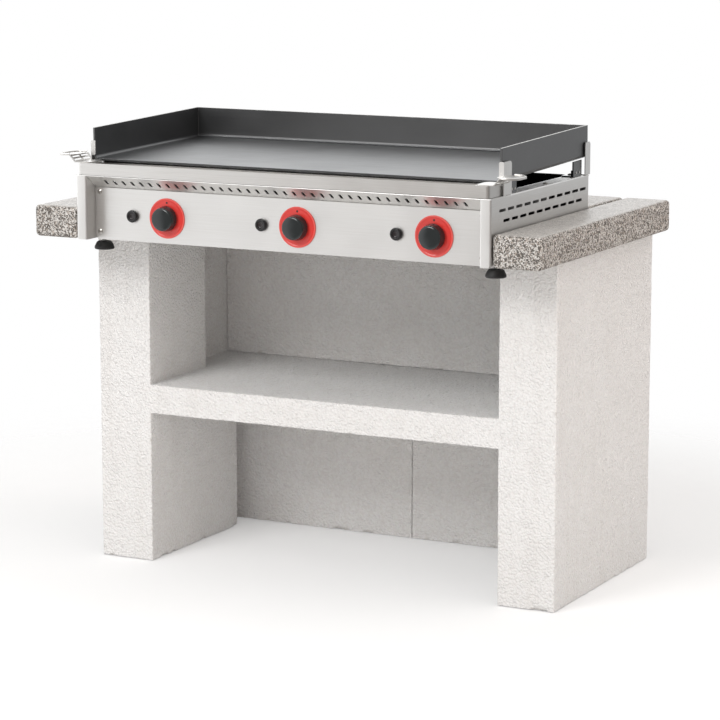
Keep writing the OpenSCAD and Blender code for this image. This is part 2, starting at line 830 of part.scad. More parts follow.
// A valve stem: D-shaped at the knob, with a shoulder inside the valve.
module stem(x) {
    hub_end = knob_back - knob_bore + 0.5;
    color("silver") {
        translate([x, knob_back + 2, knob_z]) rotate([90, 0, 0])
            linear_extrude(knob_back + 2 - hub_end) d_section(stem_r);
        bar_y(x, knob_z, stem_r, knob_back + 1.9, shoulder_y + shoulder_t + ring_t + 3);
        bar_y(x, knob_z, shoulder_r, shoulder_y, shoulder_y + shoulder_t);
    }
}

// The ring that the stem's shoulder pushes, and turns against.
module thrust_ring(x) {
    color("goldenrod") difference() {
        bar_y(x, knob_z, shoulder_r + 0.9, shoulder_y + shoulder_t + 0.05,
              shoulder_y + shoulder_t + ring_t);
        bar_y(x, knob_z, stem_r + fit_gap, shoulder_y, shoulder_y + shoulder_t + ring_t + 1);
    }
}

// A gas valve: its housing, the spigot down to the manifold and the riser to the injector.
module valve(x) {
    riser_y = manifold_y;
    color("darkkhaki") difference() {
        union() {
            bar_y(x, knob_z, valve_r, valve_front, valve_front + valve_l);
            translate([x, manifold_y, manifold_z]) cylinder(r = 6, h = knob_z - manifold_z);
            translate([x, riser_y, knob_z]) cylinder(r = 5, h = burner_z - knob_z);
            translate([x, riser_y, burner_z]) sphere(7);
            for (side = [-1, 1])
                block([x + side * 15 - 5, valve_front, knob_z - 5],
                      [x + side * 15 + 5, valve_front + 3, knob_z + 5]);
        }
        bar_y(x, knob_z, stem_r + fit_gap, valve_front - 1, valve_front + valve_wall + 1);
        bar_y(x, knob_z, shoulder_r + 1.1, valve_front + valve_wall,
              valve_front + valve_wall + valve_bore_l);
        bar_x(manifold_y, manifold_z, manifold_r + 0.02, x - manifold_end, x + manifold_end);
        bar_y(x, burner_z, 3.5 + fit_gap, riser_y, riser_y + 9);
    }
}

// The manifold, its elbow and the supply pipe that runs back and down to the inlet.
module gas_manifold() {
    end_x = control_x[0] - manifold_end;
    low = base_z + sheet_t + collar_h;
    color("lightgray") {
        // Two saddles carry the manifold on the base pan.
        for (x = [control_x[0] + saddle_in, control_x[2] - saddle_in])
            block([x - 1.5, manifold_y - manifold_r, base_z + sheet_t],
                  [x + 1.5, manifold_y + manifold_r, manifold_z]);
        bar_x(manifold_y, manifold_z, manifold_r, end_x, supply_x - elbow_r);
        bar_x(manifold_y, manifold_z, manifold_r + 1.5, end_x - 4, end_x + eps);
        translate([supply_x - elbow_r, manifold_y + elbow_r, manifold_z]) rotate([0, 0, -90])
            rotate_extrude(angle = 90) translate([elbow_r, 0]) circle(manifold_r);
        bar_y(supply_x, manifold_z, manifold_r, manifold_y + elbow_r, supply_y);
        translate([supply_x, supply_y, manifold_z]) sphere(manifold_r);
        translate([supply_x, supply_y, low]) cylinder(r = manifold_r - 1, h = manifold_z - low);
    }
}

// The threaded inlet: a six-sided collar on the base pan and the threaded end under it.
module gas_inlet() {
    color("gold") {
        translate([supply_x, supply_y, base_z + sheet_t])
            cylinder(r = inlet_r + 4.5, h = collar_h, $fn = 6);
        translate([supply_x, supply_y, body_z - inlet_l]) cylinder(r = inlet_r, h = inlet_l);
        translate([supply_x, supply_y, body_z - eps])
            cylinder(r = inlet_r - 1, h = base_z - body_z + sheet_t + 2 * eps);
    }
}

// A burner: a flared inlet, a cross tube and two long tubes with rows of flame ports.
module burner(i) {
    x = burner_x[i];
    inner = burner_r - burner_wall;
    legs = [x - burner_w / 2, x + burner_w / 2];
    color("lightsteelblue") difference() {
        union() {
            bar_x(cross_y, burner_z, burner_r, legs[0], legs[1]);
            for (leg = legs) {
                bar_y(leg, burner_z, burner_r, cross_y, burner_back);
                translate([leg, cross_y, burner_z]) sphere(burner_r);
                block([leg - 6, burner_back - 1, burner_z - 1],
                      [leg + 6, box_back - sheet_t, burner_z + 1]);
            }
            bar_y(control_x[i], burner_z, burner_r * 0.8, venturi_y + 8, cross_y);
            translate([control_x[i], venturi_y + 8 + eps, burner_z]) rotate([90, 0, 0])
                cylinder(r1 = burner_r * 0.8, r2 = venturi_r, h = 8, $fn = 48);
        }
        bar_x(cross_y, burner_z, inner, legs[0], legs[1]);
        for (leg = legs) {
            bar_y(leg, burner_z, inner, cross_y, burner_back - burner_wall);
            for (j = [0 : port_n - 1])
                bar_x(cross_y + port_start + j * (burner_back - cross_y - 2 * port_start)
                      / (port_n - 1), burner_z + burner_r * 0.35, port_d / 2,
                      leg - burner_r - 1, leg + burner_r + 1);
        }
        bar_y(control_x[i], burner_z, burner_r * 0.8 - burner_wall, venturi_y - 1, cross_y);
        translate([control_x[i], venturi_y + 8, burner_z]) rotate([90, 0, 0])
            cylinder(r1 = burner_r * 0.8 - burner_wall, r2 = venturi_r - burner_wall, h = 9);
    }
}

// The injectors: one screwed into each valve's riser, pointing into its burner.
module injectors() {
    start = manifold_y + 1;
    color("gold") for (x = control_x) difference() {
        union() {
            bar_y(x, burner_z, 3.5, start, start + 16);
            translate([x, start + 9, burner_z]) rotate([-90, 0, 0])
                cylinder(r = 5.5, h = 4, $fn = 6);
        }
        bar_y(x, burner_z, 0.6, start - 1, start + 17);
    }
}

// An igniter: the ring and barrel through the panel, the nut behind it and the piezo housing.
module igniter(x) {
    nut_y = panel_y + sheet_t;
    bore_end = button_front + button_l + button_travel + 1;
    color("#1c1c1c") difference() {
        union() {
            translate([x, panel_y, knob_z]) rotate([90, 0, 0]) rotate_extrude() polygon([
                [0, 0], [igniter_r, 0], [igniter_r, ring_out - 1.5],
                [igniter_r - 1.5, ring_out], [0, ring_out]]);
            bar_y(x, knob_z, barrel_r, panel_y - 1, nut_y + 9);
            translate([x, nut_y + 5, knob_z]) rotate([90, 0, 0])
                cylinder(r = igniter_r + 1, h = 5, $fn = 6);
            bar_y(x, knob_z, housing_r, nut_y + 8, housing_end);
        }
        bar_y(x, knob_z, button_r + fit_gap, panel_y - ring_out - 1, bore_end);
    }
}

// An igniter button, dished at its front.
module button(x) {
    dish_r = 18;
    color("black") difference() {
        bar_y(x, knob_z, button_r, button_front, button_front + button_l);
        translate([x, button_front + 0.9 - dish_r, knob_z]) sphere(dish_r);
    }
}

// The electrodes: a ceramic rod in the box's floor with a wire tip beside the burner.
module electrodes() {
    color("ivory") for (x = control_x) translate([x - igniter_x, electrode_y, 0]) {
        translate([0, 0, box_floor - 6]) cylinder(r = 3.5, h = burner_z - box_floor - 8);
        translate([0, 0, box_floor + sheet_t]) cylinder(r = 6, h = 4);
        translate([0, 0, burner_z - 16]) cylinder(r = 1, h = 18);
    }
}

// The leads, clipped under the burner box, from each piezo housing to its electrode.
module igniter_leads() {
    drop_y = housing_end + lead_bend;
    up_z = box_floor - 6;
    color("firebrick") for (x = control_x) translate([x - igniter_x, 0, 0]) {
        translate([0, housing_end, knob_z - lead_bend]) rotate([0, -90, 0]) rotate([0, 0, 0])
            rotate_extrude(angle = 90) translate([lead_bend, 0]) circle(lead_r, $fn = 24);
        translate([0, drop_y, lead_z + lead_bend])
            cylinder(r = lead_r, h = knob_z - lead_z - 2 * lead_bend, $fn = 24);
        translate([0, drop_y + lead_bend, lead_z + lead_bend]) rotate([0, -90, 0])
            rotate([0, 0, 180])
                rotate_extrude(angle = 90) translate([lead_bend, 0]) circle(lead_r, $fn = 24);
        bar_y(0, lead_z, lead_r, drop_y + lead_bend, electrode_y - lead_bend);
        translate([0, electrode_y - lead_bend, lead_z + lead_bend]) rotate([0, -90, 0])
            rotate([0, 0, 90])
                rotate_extrude(angle = 90) translate([lead_bend, 0]) circle(lead_r, $fn = 24);
        translate([0, electrode_y, lead_z + lead_bend])
            cylinder(r = lead_r, h = max(up_z - lead_z - lead_bend, eps), $fn = 24);
    }
}

// The feet: a rubber cone on a stud with its lock nut, four times.
module feet() {
    color("#1a1a1a") for (x = [-foot_x, foot_x], y = [foot_front, foot_rear])
        translate([x, y, foot_z]) {
            rotate_extrude() polygon([
                [0, 0], [foot_r - 1.5, 0], [foot_r, 1.5], [foot_r - 0.5, 4],
                [foot_r - 4.5, foot_h - 1.5], [foot_r - 6, foot_h], [0, foot_h]]);
            translate([0, 0, foot_h - eps]) cylinder(r = stud_r, h = foot_drop - foot_h + eps);
            translate([0, 0, foot_drop - 5]) cylinder(r = 7.5, h = 5, $fn = 6);
        }
}

// The fasteners: four screws in the control panel, four in each side's top flange and the
// rivets of the rests.
module screws() {
    color("lightgray") for (side = [0, 1]) mirror([side, 0, 0]) {
        for (z = [panel_top - screw_inset, panel_bottom + screw_lift])
            translate([screw_x, panel_y, z]) rotate([90, 0, 0]) screw(4);
        for (p = top_screws) translate([p.x, p.y, top_z + p.z]) screw(5 + p.z);
        for (r = rests, y = rivets(r[0], r[1])) {
            bar_x(y, top_z + 7, rivet_r - 0.05, web_x - rest_t - 0.5, web_x + rest_t + 0.5);
            bar_x(y, top_z + 7, rivet_r + 0.8, web_x + rest_t, web_x + rest_t + 0.8);
            bar_x(y, top_z + 7, rivet_r + 0.8, web_x - rest_t - 0.8, web_x - rest_t);
        }
    }
}

left_outer_wall();
right_outer_wall();
left_lower_wall();
right_lower_wall();
left_upper_wall();
right_upper_wall();
shelf();
left_back_board();
right_back_board();
upper_back_board();
left_worktop();
right_worktop();
rear_worktop();
left_side_panel();
right_side_panel();
front_rail();
control_panel();
rear_panel();
base_pan();
burner_box();
left_front_post();
right_front_post();
left_rear_post();
right_rear_post();
plate_rests();
griddle_plate();
grease_tray();
left_tray_handle();
right_tray_handle();
bezel(control_x[0]);  // left_bezel
bezel(control_x[1]);  // middle_bezel
bezel(control_x[2]);  // right_bezel
knob(control_x[0]);  // left_knob
knob(control_x[1]);  // middle_knob
knob(control_x[2]);  // right_knob
stem(control_x[0]);  // left_stem
stem(control_x[1]);  // middle_stem
stem(control_x[2]);  // right_stem
thrust_ring(control_x[0]);  // left_thrust_ring
thrust_ring(control_x[1]);  // middle_thrust_ring
thrust_ring(control_x[2]);  // right_thrust_ring
valve(control_x[0]);  // left_valve
valve(control_x[1]);  // middle_valve
valve(control_x[2]);  // right_valve
igniter(control_x[0] - igniter_x);  // left_igniter
igniter(control_x[1] - igniter_x);  // middle_igniter
igniter(control_x[2] - igniter_x);  // right_igniter
button(control_x[0] - igniter_x);  // left_button
button(control_x[1] - igniter_x);  // middle_button
button(control_x[2] - igniter_x);  // right_button
gas_manifold();
gas_inlet();
burner(0);  // left_burner
burner(1);  // middle_burner
burner(2);  // right_burner
injectors();
electrodes();
igniter_leads();
feet();
screws();
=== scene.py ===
"""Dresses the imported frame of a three-burner gas griddle on its masonry stand."""

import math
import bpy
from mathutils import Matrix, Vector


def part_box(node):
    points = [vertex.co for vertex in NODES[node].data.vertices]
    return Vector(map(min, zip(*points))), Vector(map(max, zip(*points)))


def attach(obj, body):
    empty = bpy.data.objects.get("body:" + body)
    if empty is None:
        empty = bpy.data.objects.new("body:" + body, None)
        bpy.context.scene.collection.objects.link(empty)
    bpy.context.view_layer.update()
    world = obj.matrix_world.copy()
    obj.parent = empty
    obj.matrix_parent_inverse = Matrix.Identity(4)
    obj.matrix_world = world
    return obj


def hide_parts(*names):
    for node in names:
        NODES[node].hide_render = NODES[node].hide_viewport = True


bl_info = {
    "name": "Gas griddle on a masonry stand",
    "version": (1, 0, 0),
    "blender": (4, 5, 0),
    "location": "3D View > Sidebar > Griddle",
    "description": "Surfaces and materials for a gas griddle with its stand and worktops",
    "category": "Object",
}

import bmesh
import bpy
import numpy as np
from bpy.props import FloatProperty, FloatVectorProperty, PointerProperty

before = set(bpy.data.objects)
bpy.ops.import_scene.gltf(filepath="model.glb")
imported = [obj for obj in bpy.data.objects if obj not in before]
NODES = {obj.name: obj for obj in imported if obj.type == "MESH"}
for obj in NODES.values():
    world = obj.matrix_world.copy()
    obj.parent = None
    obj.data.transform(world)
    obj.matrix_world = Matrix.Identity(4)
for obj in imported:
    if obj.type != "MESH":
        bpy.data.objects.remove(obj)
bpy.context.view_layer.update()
MM = 0.001
SIDES = ("left", "right")
CONTROLS = ("left", "middle", "right")

# The widest rectangles, in metres, of the skins of the legs, the back boards and the worktops.
LEG_GRID, BACK_GRID, SLAB_GRID = 0.0056, 0.008, 0.0034
# How many points go round a bezel or a knob.
ROUND = 96
PLATE_WALL = 58 * MM

# The camera's place, how far it looks down and how far it is turned, fitted to the photo.
CAMERA_AT, CAMERA_DOWN, CAMERA_TURN = (2.30811, -4.47829, 1.28045), 0.17662, 0.47422
KEY_AT, KEY_TILT, KEY_TURN, KEY_SIZE = (-1.0, -3.6, 2.7), 58, -16, 1.5
# The floor's half width, how far it lies under the object, where it starts and ends to fade,
# and the white added where the camera or a mirror sees it.
FLOOR_HALF, FLOOR_DROP, FLOOR_FADE, FLOOR_LIFT = 4, 0.0004, (0.8, 1.7), 0.25
# What glossy surfaces see in each direction: the direction, two values of the cosine to it, and
# what the cosine is turned into at each of them.
GLOSSY = {
    "behind": ((0.80, 0.55, -0.25), 0.1, 0.95, 1.2, 0.40),
    "open_side": ((0.60, -0.80, 0), 0.33, 0.43, 0.0, 1.0),
    "backdrop": ((-0.40, 0.82, 0.41), 0.7, 0.97, 1.0, 1.32),
    "lamp": ((-0.67, -0.05, 0.74), 0.985, 0.995, 0.0, 14.0),
}
STUDIO_WHITE, OPEN_GREY = (1.26, 1.275, 1.29), (0.40, 0.375, 0.36)


# Numbers and colours


def linear(hex_colour):
    """The linear values of an sRGB hex colour.

    Each is v / 12.92 where v is at most 0.04045, and ((v + 0.055) / 1.055)^2.4 above it.
    """
    v = np.array([int(hex_colour[i : i + 2], 16) for i in (1, 3, 5)]) / 255
    return tuple(np.where(v <= 0.04045, v / 12.92, ((v + 0.055) / 1.055) ** 2.4).tolist())


def rgba(colour):
    """A colour as the four values that a node's socket takes."""
    return (*(linear(colour) if isinstance(colour, str) else colour), 1.0)


def per(mm):
    """The scale of a pattern whose grains are that many millimetres apart."""
    return 1000 / mm


def box(node):
    """A CAD node's low and high corners, rounded to a hundredth of a millimetre."""
    return [np.round(np.array(corner), 5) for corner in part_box(node)]


def round_front(node):
    """The radius, the depth and the middle of the back of a round node that faces the user."""
    low, high = box(node)
    centre = np.array([(low[0] + high[0]) / 2, high[1], (low[2] + high[2]) / 2])
    return (high[0] - low[0]) / 2, high[1] - low[1], centre


# Points and faces


def hashed(cell, seed):
    """One fixed number from 0 to 1 for each whole-numbered cell, mixed from its three indices."""
    primes = np.array([73856093, 19349663, 83492791], np.uint64)
    h = (cell.astype(np.int64).astype(np.uint64) * primes).sum(-1) + np.uint64(seed * 2654435761)
    h = (h ^ (h >> np.uint64(15))) * np.uint64(2246822519)
    h = (h ^ (h >> np.uint64(13))) * np.uint64(3266489917)
    return ((h ^ (h >> np.uint64(16))) & np.uint64(0xFFFFFF)).astype(float) / 0xFFFFFF


def lumps(points, size, seed):
    """Smooth noise from -1 to 1: the eased mix of the values at the corners of cells.

    A cell is `size` wide, and f is eased to f^2 (3 - 2f) before the corners are mixed.
    """
    q = points / size
    cell = np.floor(q)
    f = q - cell
    f = f * f * (3 - 2 * f)
    total = 0
    for corner in np.ndindex(2, 2, 2):
        weight = np.prod(np.where(corner, f, 1 - f), axis=-1)
        total = total + weight * hashed(cell + corner, seed)
    return 2 * total - 1


def pebbles(points, size, seed):
    """The distance, in cells, from each point to the nearest of one random spot per cell."""
    q = points / size
    cell = np.floor(q)
    nearest = np.full(len(points), 9.0)
    for step in np.ndindex(3, 3, 3):
        home = cell + np.array(step) - 1
        spot = home + np.stack([hashed(home, seed + i) for i in range(3)], -1)
        nearest = np.minimum(nearest, np.linalg.norm(q - spot, axis=-1))
    return nearest


def ticks(marks, step):
    """The marks, with even points between them no further apart than the step."""
    marks = np.unique(np.round(marks, 5))
    runs = [np.linspace(a, b, max(1, math.ceil((b - a) / step)) + 1)[:-1]
            for a, b in zip(marks, marks[1:])]
    return np.concatenate(runs + [marks[-1:]])


def shell(blocks, step):
    """The skin of a union of blocks, as small rectangles.

    Space is cut into cells along the blocks' own faces. A face lies wherever a full cell meets an
    empty one, and looks towards the empty one. Returns points, faces and each point's outward
    direction, the sum of the directions of the faces round it.
    """
    blocks = [np.round(np.array(b, float), 5) for b in blocks]
    lines = [ticks(np.array([b[:, i] for b in blocks]).ravel(), step) for i in range(3)]
    middles = np.meshgrid(*[(t[1:] + t[:-1]) / 2 for t in lines], indexing="ij")
    full = np.zeros(middles[0].shape, bool)
    for low, high in blocks:
        full |= np.all([(m > lo) & (m < hi) for m, lo, hi in zip(middles, low, high)], axis=0)
    padded = np.pad(full, 1).astype(np.int8)
    shape = [len(t) for t in lines]
    faces, outward = [], []
    for axis in range(3):
        others = [i for i in range(3) if i != axis]
        step_up = np.diff(np.moveaxis(padded, axis, 0), axis=0)
        for sign in (1, -1):
            plane, a, b = np.nonzero(step_up == sign)
            corners = np.empty((len(plane), 4, 3), int)
            turn = ((0, 0), (1, 0), (1, 1), (0, 1))
            if (sign == 1) != (axis == 1):
                turn = turn[::-1]
            for k, (da, db) in enumerate(turn):
                corners[:, k, axis] = plane
                corners[:, k, others[0]] = a - 1 + da
                corners[:, k, others[1]] = b - 1 + db
            faces.append(np.ravel_multi_index(np.moveaxis(corners, -1, 0), shape))
            outward.append(np.tile(-sign * np.eye(3)[axis], (len(plane), 1)))
    faces, outward = np.concatenate(faces), np.concatenate(outward)
    used, faces = np.unique(faces, return_inverse=True)
    faces = faces.reshape(-1, 4)
    index = np.stack(np.unravel_index(used, shape), -1)
    points = np.stack([lines[i][index[:, i]] for i in range(3)], -1)
    normals = np.zeros_like(points)
    for k in range(4):
        np.add.at(normals, faces[:, k], outward)
    normals = np.sign(np.round(normals, 3))
    return points, faces, normals


def rounded_block(low, high, radius, step):
    """A block with all its edges rounded.

    Each point of the plain block is drawn to the nearest point of a block smaller by the radius,
    and set out from it by the radius: p = c + r (q - c) / |q - c|.
    """
    points, faces, _ = shell([(low, high)], step)
    inner = np.clip(points, low + radius, high - radius)
    away = points - inner
    away /= np.linalg.norm(away, axis=-1, keepdims=True)
    return inner + radius * away, faces, away


def quads(rows, columns, wrap):
    """The faces of a grid of rows and columns; with wrap, the last column joins the first."""
    i, j = np.meshgrid(np.arange(rows - 1), np.arange(columns if wrap else columns - 1),
                       indexing="ij")
    k = (j + 1) % columns
    a, b = i * columns, (i + 1) * columns
    return np.stack([a + j, a + k, b + k, b + j], -1).reshape(-1, 4)


def eased(corners):
    """A profile through corners (x, y, radius), each corner a curve between points that far off.

    With A and C the points on the two sides and B the corner, the curve is
    (1-t)^2 A + 2t(1-t) B + t^2 C.
    """
    corners = np.array(corners, float)
    path = [corners[:1, :2]]
    for before, (*at, radius), after in zip(corners, corners[1:], corners[2:]):
        at = np.array(at)
        if radius == 0:
            path.append(at[None])
            continue
        to_a, to_c = before[:2] - at, after[:2] - at
        a = at + to_a / np.linalg.norm(to_a) * min(radius, np.linalg.norm(to_a) * 0.49)
        c = at + to_c / np.linalg.norm(to_c) * min(radius, np.linalg.norm(to_c) * 0.49)
        t = np.linspace(0, 1, 6)[:, None]
        path.append((1 - t) ** 2 * a + 2 * t * (1 - t) * at + t**2 * c)
    return np.concatenate(path + [corners[-1:, :2]])


def turned(profile, centre, axis, turns=72):
    """A profile of (radius, height) turned about an axis through the centre.

    p(i, a) = centre + r_i (u cos a + w sin a) + h_i n, with n the axis, "front" or "up".
    """
    u, w, n = {"front": ((1, 0, 0), (0, 0, 1), (0, -1, 0)),
               "up": ((1, 0, 0), (0, 1, 0), (0, 0, 1))}[axis]
    a = np.arange(turns) * 2 * math.pi / turns
    r, h = np.asarray(profile, float).T
    round_way = np.cos(a)[:, None] * np.array(u) + np.sin(a)[:, None] * np.array(w)
    points = centre + r[:, None, None] * round_way + h[:, None, None] * np.array(n)
    return points.reshape(-1, 3), quads(len(r), turns, wrap=True)


def joined(*parts):
    """Several (points, faces) as one, with a number for each face that says which it came from."""
    starts = np.cumsum([0] + [len(p) for p, _ in parts])
    points = np.concatenate([p for p, _ in parts])
    faces = np.concatenate([f + s for (_, f), s in zip(parts, starts)])
    marks = np.concatenate([np.full(len(f), i) for i, (_, f) in enumerate(parts)])
    return points, faces, marks


def put(name, body, points, faces, materials, marks=None, replaces=(), mend=True,
        sharp=35, flat_merge=False):
    """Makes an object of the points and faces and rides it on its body.

    mend merges points that share a place and turns every face outward. flat_merge merges them and
    joins the triangles of each flat face, for a copy of a CAD mesh that looks outward already.
    """
    points, faces = np.asarray(points, np.float32), np.asarray(faces, np.int32)
    count, corners = faces.shape
    mesh = bpy.data.meshes.new(name)
    mesh.vertices.add(len(points))
    mesh.vertices.foreach_set("co", points.ravel())
    mesh.loops.add(count * corners)
    mesh.loops.foreach_set("vertex_index", faces.ravel())
    mesh.polygons.add(count)
    mesh.polygons.foreach_set("loop_start", np.arange(0, count * corners, corners, dtype=np.int32))
    if marks is not None:
        mesh.polygons.foreach_set("material_index", np.asarray(marks, np.int32))
    mesh.update(calc_edges=True)
    if mend or flat_merge:
        work = bmesh.new()
        work.from_mesh(mesh)
        bmesh.ops.remove_doubles(work, verts=work.verts, dist=1e-5)
        bmesh.ops.dissolve_degenerate(work, edges=work.edges, dist=1e-6)
        if flat_merge:
            bmesh.ops.dissolve_limit(work, angle_limit=math.radians(0.4), verts=work.verts,
                                     edges=work.edges)
        else:
            bmesh.ops.recalc_face_normals(work, faces=work.faces)
        work.to_mesh(mesh)
        work.free()
    mesh.validate()
    mesh.shade_smooth()
    mesh.set_sharp_from_angle(angle=math.radians(sharp))
    for material in materials:
        mesh.materials.append(material)
    piece = bpy.data.objects.new(name, mesh)
    bpy.context.scene.collection.objects.link(piece)
    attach(piece, body)
    if replaces:
        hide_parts(*replaces)
    return piece


def ease_edges(piece, width, angle=50):
    """Rounds the piece's sharp edges with a bevel of that width in metres."""
    bevel = piece.modifiers.new("eased edges", "BEVEL")
    bevel.width, bevel.segments = width, 2
    bevel.limit_method, bevel.angle_limit = "ANGLE", math.radians(angle)
    bevel.use_clamp_overlap = False
    return piece


def ease_long_edges(piece, width):
    """Rounds the sharp edges of a sheet that have room for the bevel.

    An edge has room where every edge that meets either of its ends is over four widths long.
    """
    mesh = piece.data
    ends = np.empty(len(mesh.edges) * 2, np.int32)
    mesh.edges.foreach_get("vertices", ends)
    ends = ends.reshape(-1, 2)
    at = np.empty(len(mesh.vertices) * 3, np.float32)
    mesh.vertices.foreach_get("co", at)
    at = at.reshape(-1, 3)
    long = np.linalg.norm(at[ends[:, 0]] - at[ends[:, 1]], axis=-1)
    least = np.full(len(at), np.inf)
    for end in (0, 1):
        np.minimum.at(least, ends[:, end], long)
    sharp = np.empty(len(ends), bool)
    mesh.attributes["sharp_edge"].data.foreach_get("value", sharp)
    roomy = sharp & (least[ends].min(-1) > 4 * width)
    weight = mesh.attributes.new("bevel_weight_edge", "FLOAT", "EDGE")
    weight.data.foreach_set("value", roomy.astype(np.float32))
    ease_edges(piece, width).modifiers["eased edges"].limit_method = "WEIGHT"
    return piece


def refined(node, body, material, edge):
    """A merged copy of a CAD node with its sharp edges eased, standing for that node."""
    source = NODES[node].data
    points = np.empty(len(source.vertices) * 3, np.float32)
    source.vertices.foreach_get("co", points)
    loops = np.empty(len(source.loops), np.int32)
    source.loops.foreach_get("vertex_index", loops)
    piece = put(node + "_sheet", body, points.reshape(-1, 3), loops.reshape(-1, 3),
                [material], replaces=(node,), mend=False, flat_merge=True)
    return ease_long_edges(piece, edge)


def dress(material, *nodes):
    """Gives CAD nodes, whose shape is right, a material in every slot."""
    for node in nodes:
        for slot in NODES[node].material_slots:
            slot.material = material


# Sizes and colours a user would change


def shade(name, description, hex_colour):
    """A colour property with its default given in sRGB hex."""
    return FloatVectorProperty(name=name, description=description, subtype="COLOR", size=3,
                               min=0, max=1, default=linear(hex_colour))


def length(name, description, default_mm, most_mm):
    """A length property in metres, with its default given in millimetres."""
    return FloatProperty(name=name, description=description, default=default_mm * MM, min=0,
                         max=most_mm * MM, subtype="DISTANCE", unit="LENGTH", precision=5)


class GriddleStandLook(bpy.types.PropertyGroup):
    skim: shade("Skim coat", "White skim coat on the boards", "#f3f1ef")
    soiled: shade("Soiled coat", "The coat where dust lies in its stipple", "#e0d9d5")
    core: shade("Board core", "Aerated concrete where an edge is chipped", "#c9c4bd")
    edge: length("Edge", "Width of the worn edge of a board", 1.2, 2.5)
    chip: length("Chips", "Depth of the deepest chips along the edges", 2.4, 4)
    seam: length("Seam", "Open seam beside each back board", 0.12, 2)


class GriddleWorktopLook(bpy.types.PropertyGroup):
    cement: shade("Cement", "Grey cement between the stone chips", "#aca6a0")
    pale: shade("Pale chips", "Marble and quartz chips", "#d2cec9")
    tan: shade("Tan chips", "Ochre chips", "#aa9f95")
    dark: shade("Dark chips", "Basalt chips", "#605b56")
    radius: length("Edge radius", "Radius along the slabs' edges", 8, 14)
    relief: length("Relief", "How far the chips stand out of the washed sides", 0.6, 2)


class GriddlePlateLook(bpy.types.PropertyGroup):
    oiled: shade("Oiled steel", "Black oiled steel of the griddle plate", "#141618")
    bare: shade("Cut edge", "Bare steel along the cut edges", "#a9a8a5")
    bend: length("Bend", "Outer bend radius of the plate", 10, 20)
    thickness: length("Thickness", "Thickness of the plate and its walls", 4, 8)
    fall: FloatProperty(name="Fall", description="Fall of the plate to the tray",
                        default=math.radians(1.25), min=0, max=math.radians(3), subtype="ANGLE")


class GriddleSteelLook(bpy.types.PropertyGroup):
    steel: shade("Stainless steel", "Brushed stainless sheet", "#dbdad8")
    # The tray's steel is set darker than the panel's: painted shade, standing for the dark
    # reflections the tray and its handles show.
    tray: shade("Grease tray", "Stainless sheet of the grease tray, dulled by fat", "#cfcdca")
    enamel: shade("Enamel", "Black enamel of the burner box and the rests", "#17181a")
    edge: length("Folded edge", "Width of the eased edge of the sheet", 0.3, 0.7)


class GriddleControlLook(bpy.types.PropertyGroup):
    red: shade("Bezel", "Red of the bezels", "#dc3c36")
    # The rim colour is paler than the bezel red: a painted highlight along the rim's edge.
    rim: shade("Bezel rim", "Rubbed rim of the bezels", "#dd5048")
    knob: shade("Knob", "Grey-black phenolic of the knobs", "#1d2223")
    black: shade("Igniter", "Black plastic of the igniters", "#141314")
    rubber: shade("Rubber", "Black rubber of the feet", "#191919")


class GriddleStageLook(bpy.types.PropertyGroup):
    paper: shade("Floor", "Colour of the floor", "#e9e9e9")
    above: FloatProperty(name="Above", description="Level of the light from above",
                         default=1.4, min=0, max=4)
    front: FloatProperty(name="Front", description="Level of the light from the front",
                         default=1.34, min=0, max=4)
    right: FloatProperty(name="Right", description="Level of the light from the right",
                         default=1.75, min=0, max=4)
    key: FloatProperty(name="Key lamp", description="Power of the large lamp", default=64,
                       min=0, max=500, subtype="POWER", unit="POWER")
    lens: FloatProperty(name="Lens", description="Focal length of the camera", default=141.9,
                        min=10, max=300, unit="CAMERA")


# Materials


def add(tree, kind, inputs=None, **settings):
    """Adds one node, sets its settings, and gives each input a value or a link from a socket."""
    node = tree.nodes.new(kind)
    for name, value in settings.items():
        setattr(node, name, value)
    for key, value in (inputs or {}).items():
        if isinstance(value, bpy.types.NodeSocket):
            tree.links.new(value, node.inputs[key])
        else:
            node.inputs[key].default_value = value
    return node


def blank(name):
    """An empty material, its tree, and the object coordinates that its patterns read."""
    material = bpy.data.materials.new(name)
    material.use_nodes = True
    tree = material.node_tree
    tree.nodes.clear()
    return material, tree, add(tree, "ShaderNodeTexCoord").outputs["Object"]


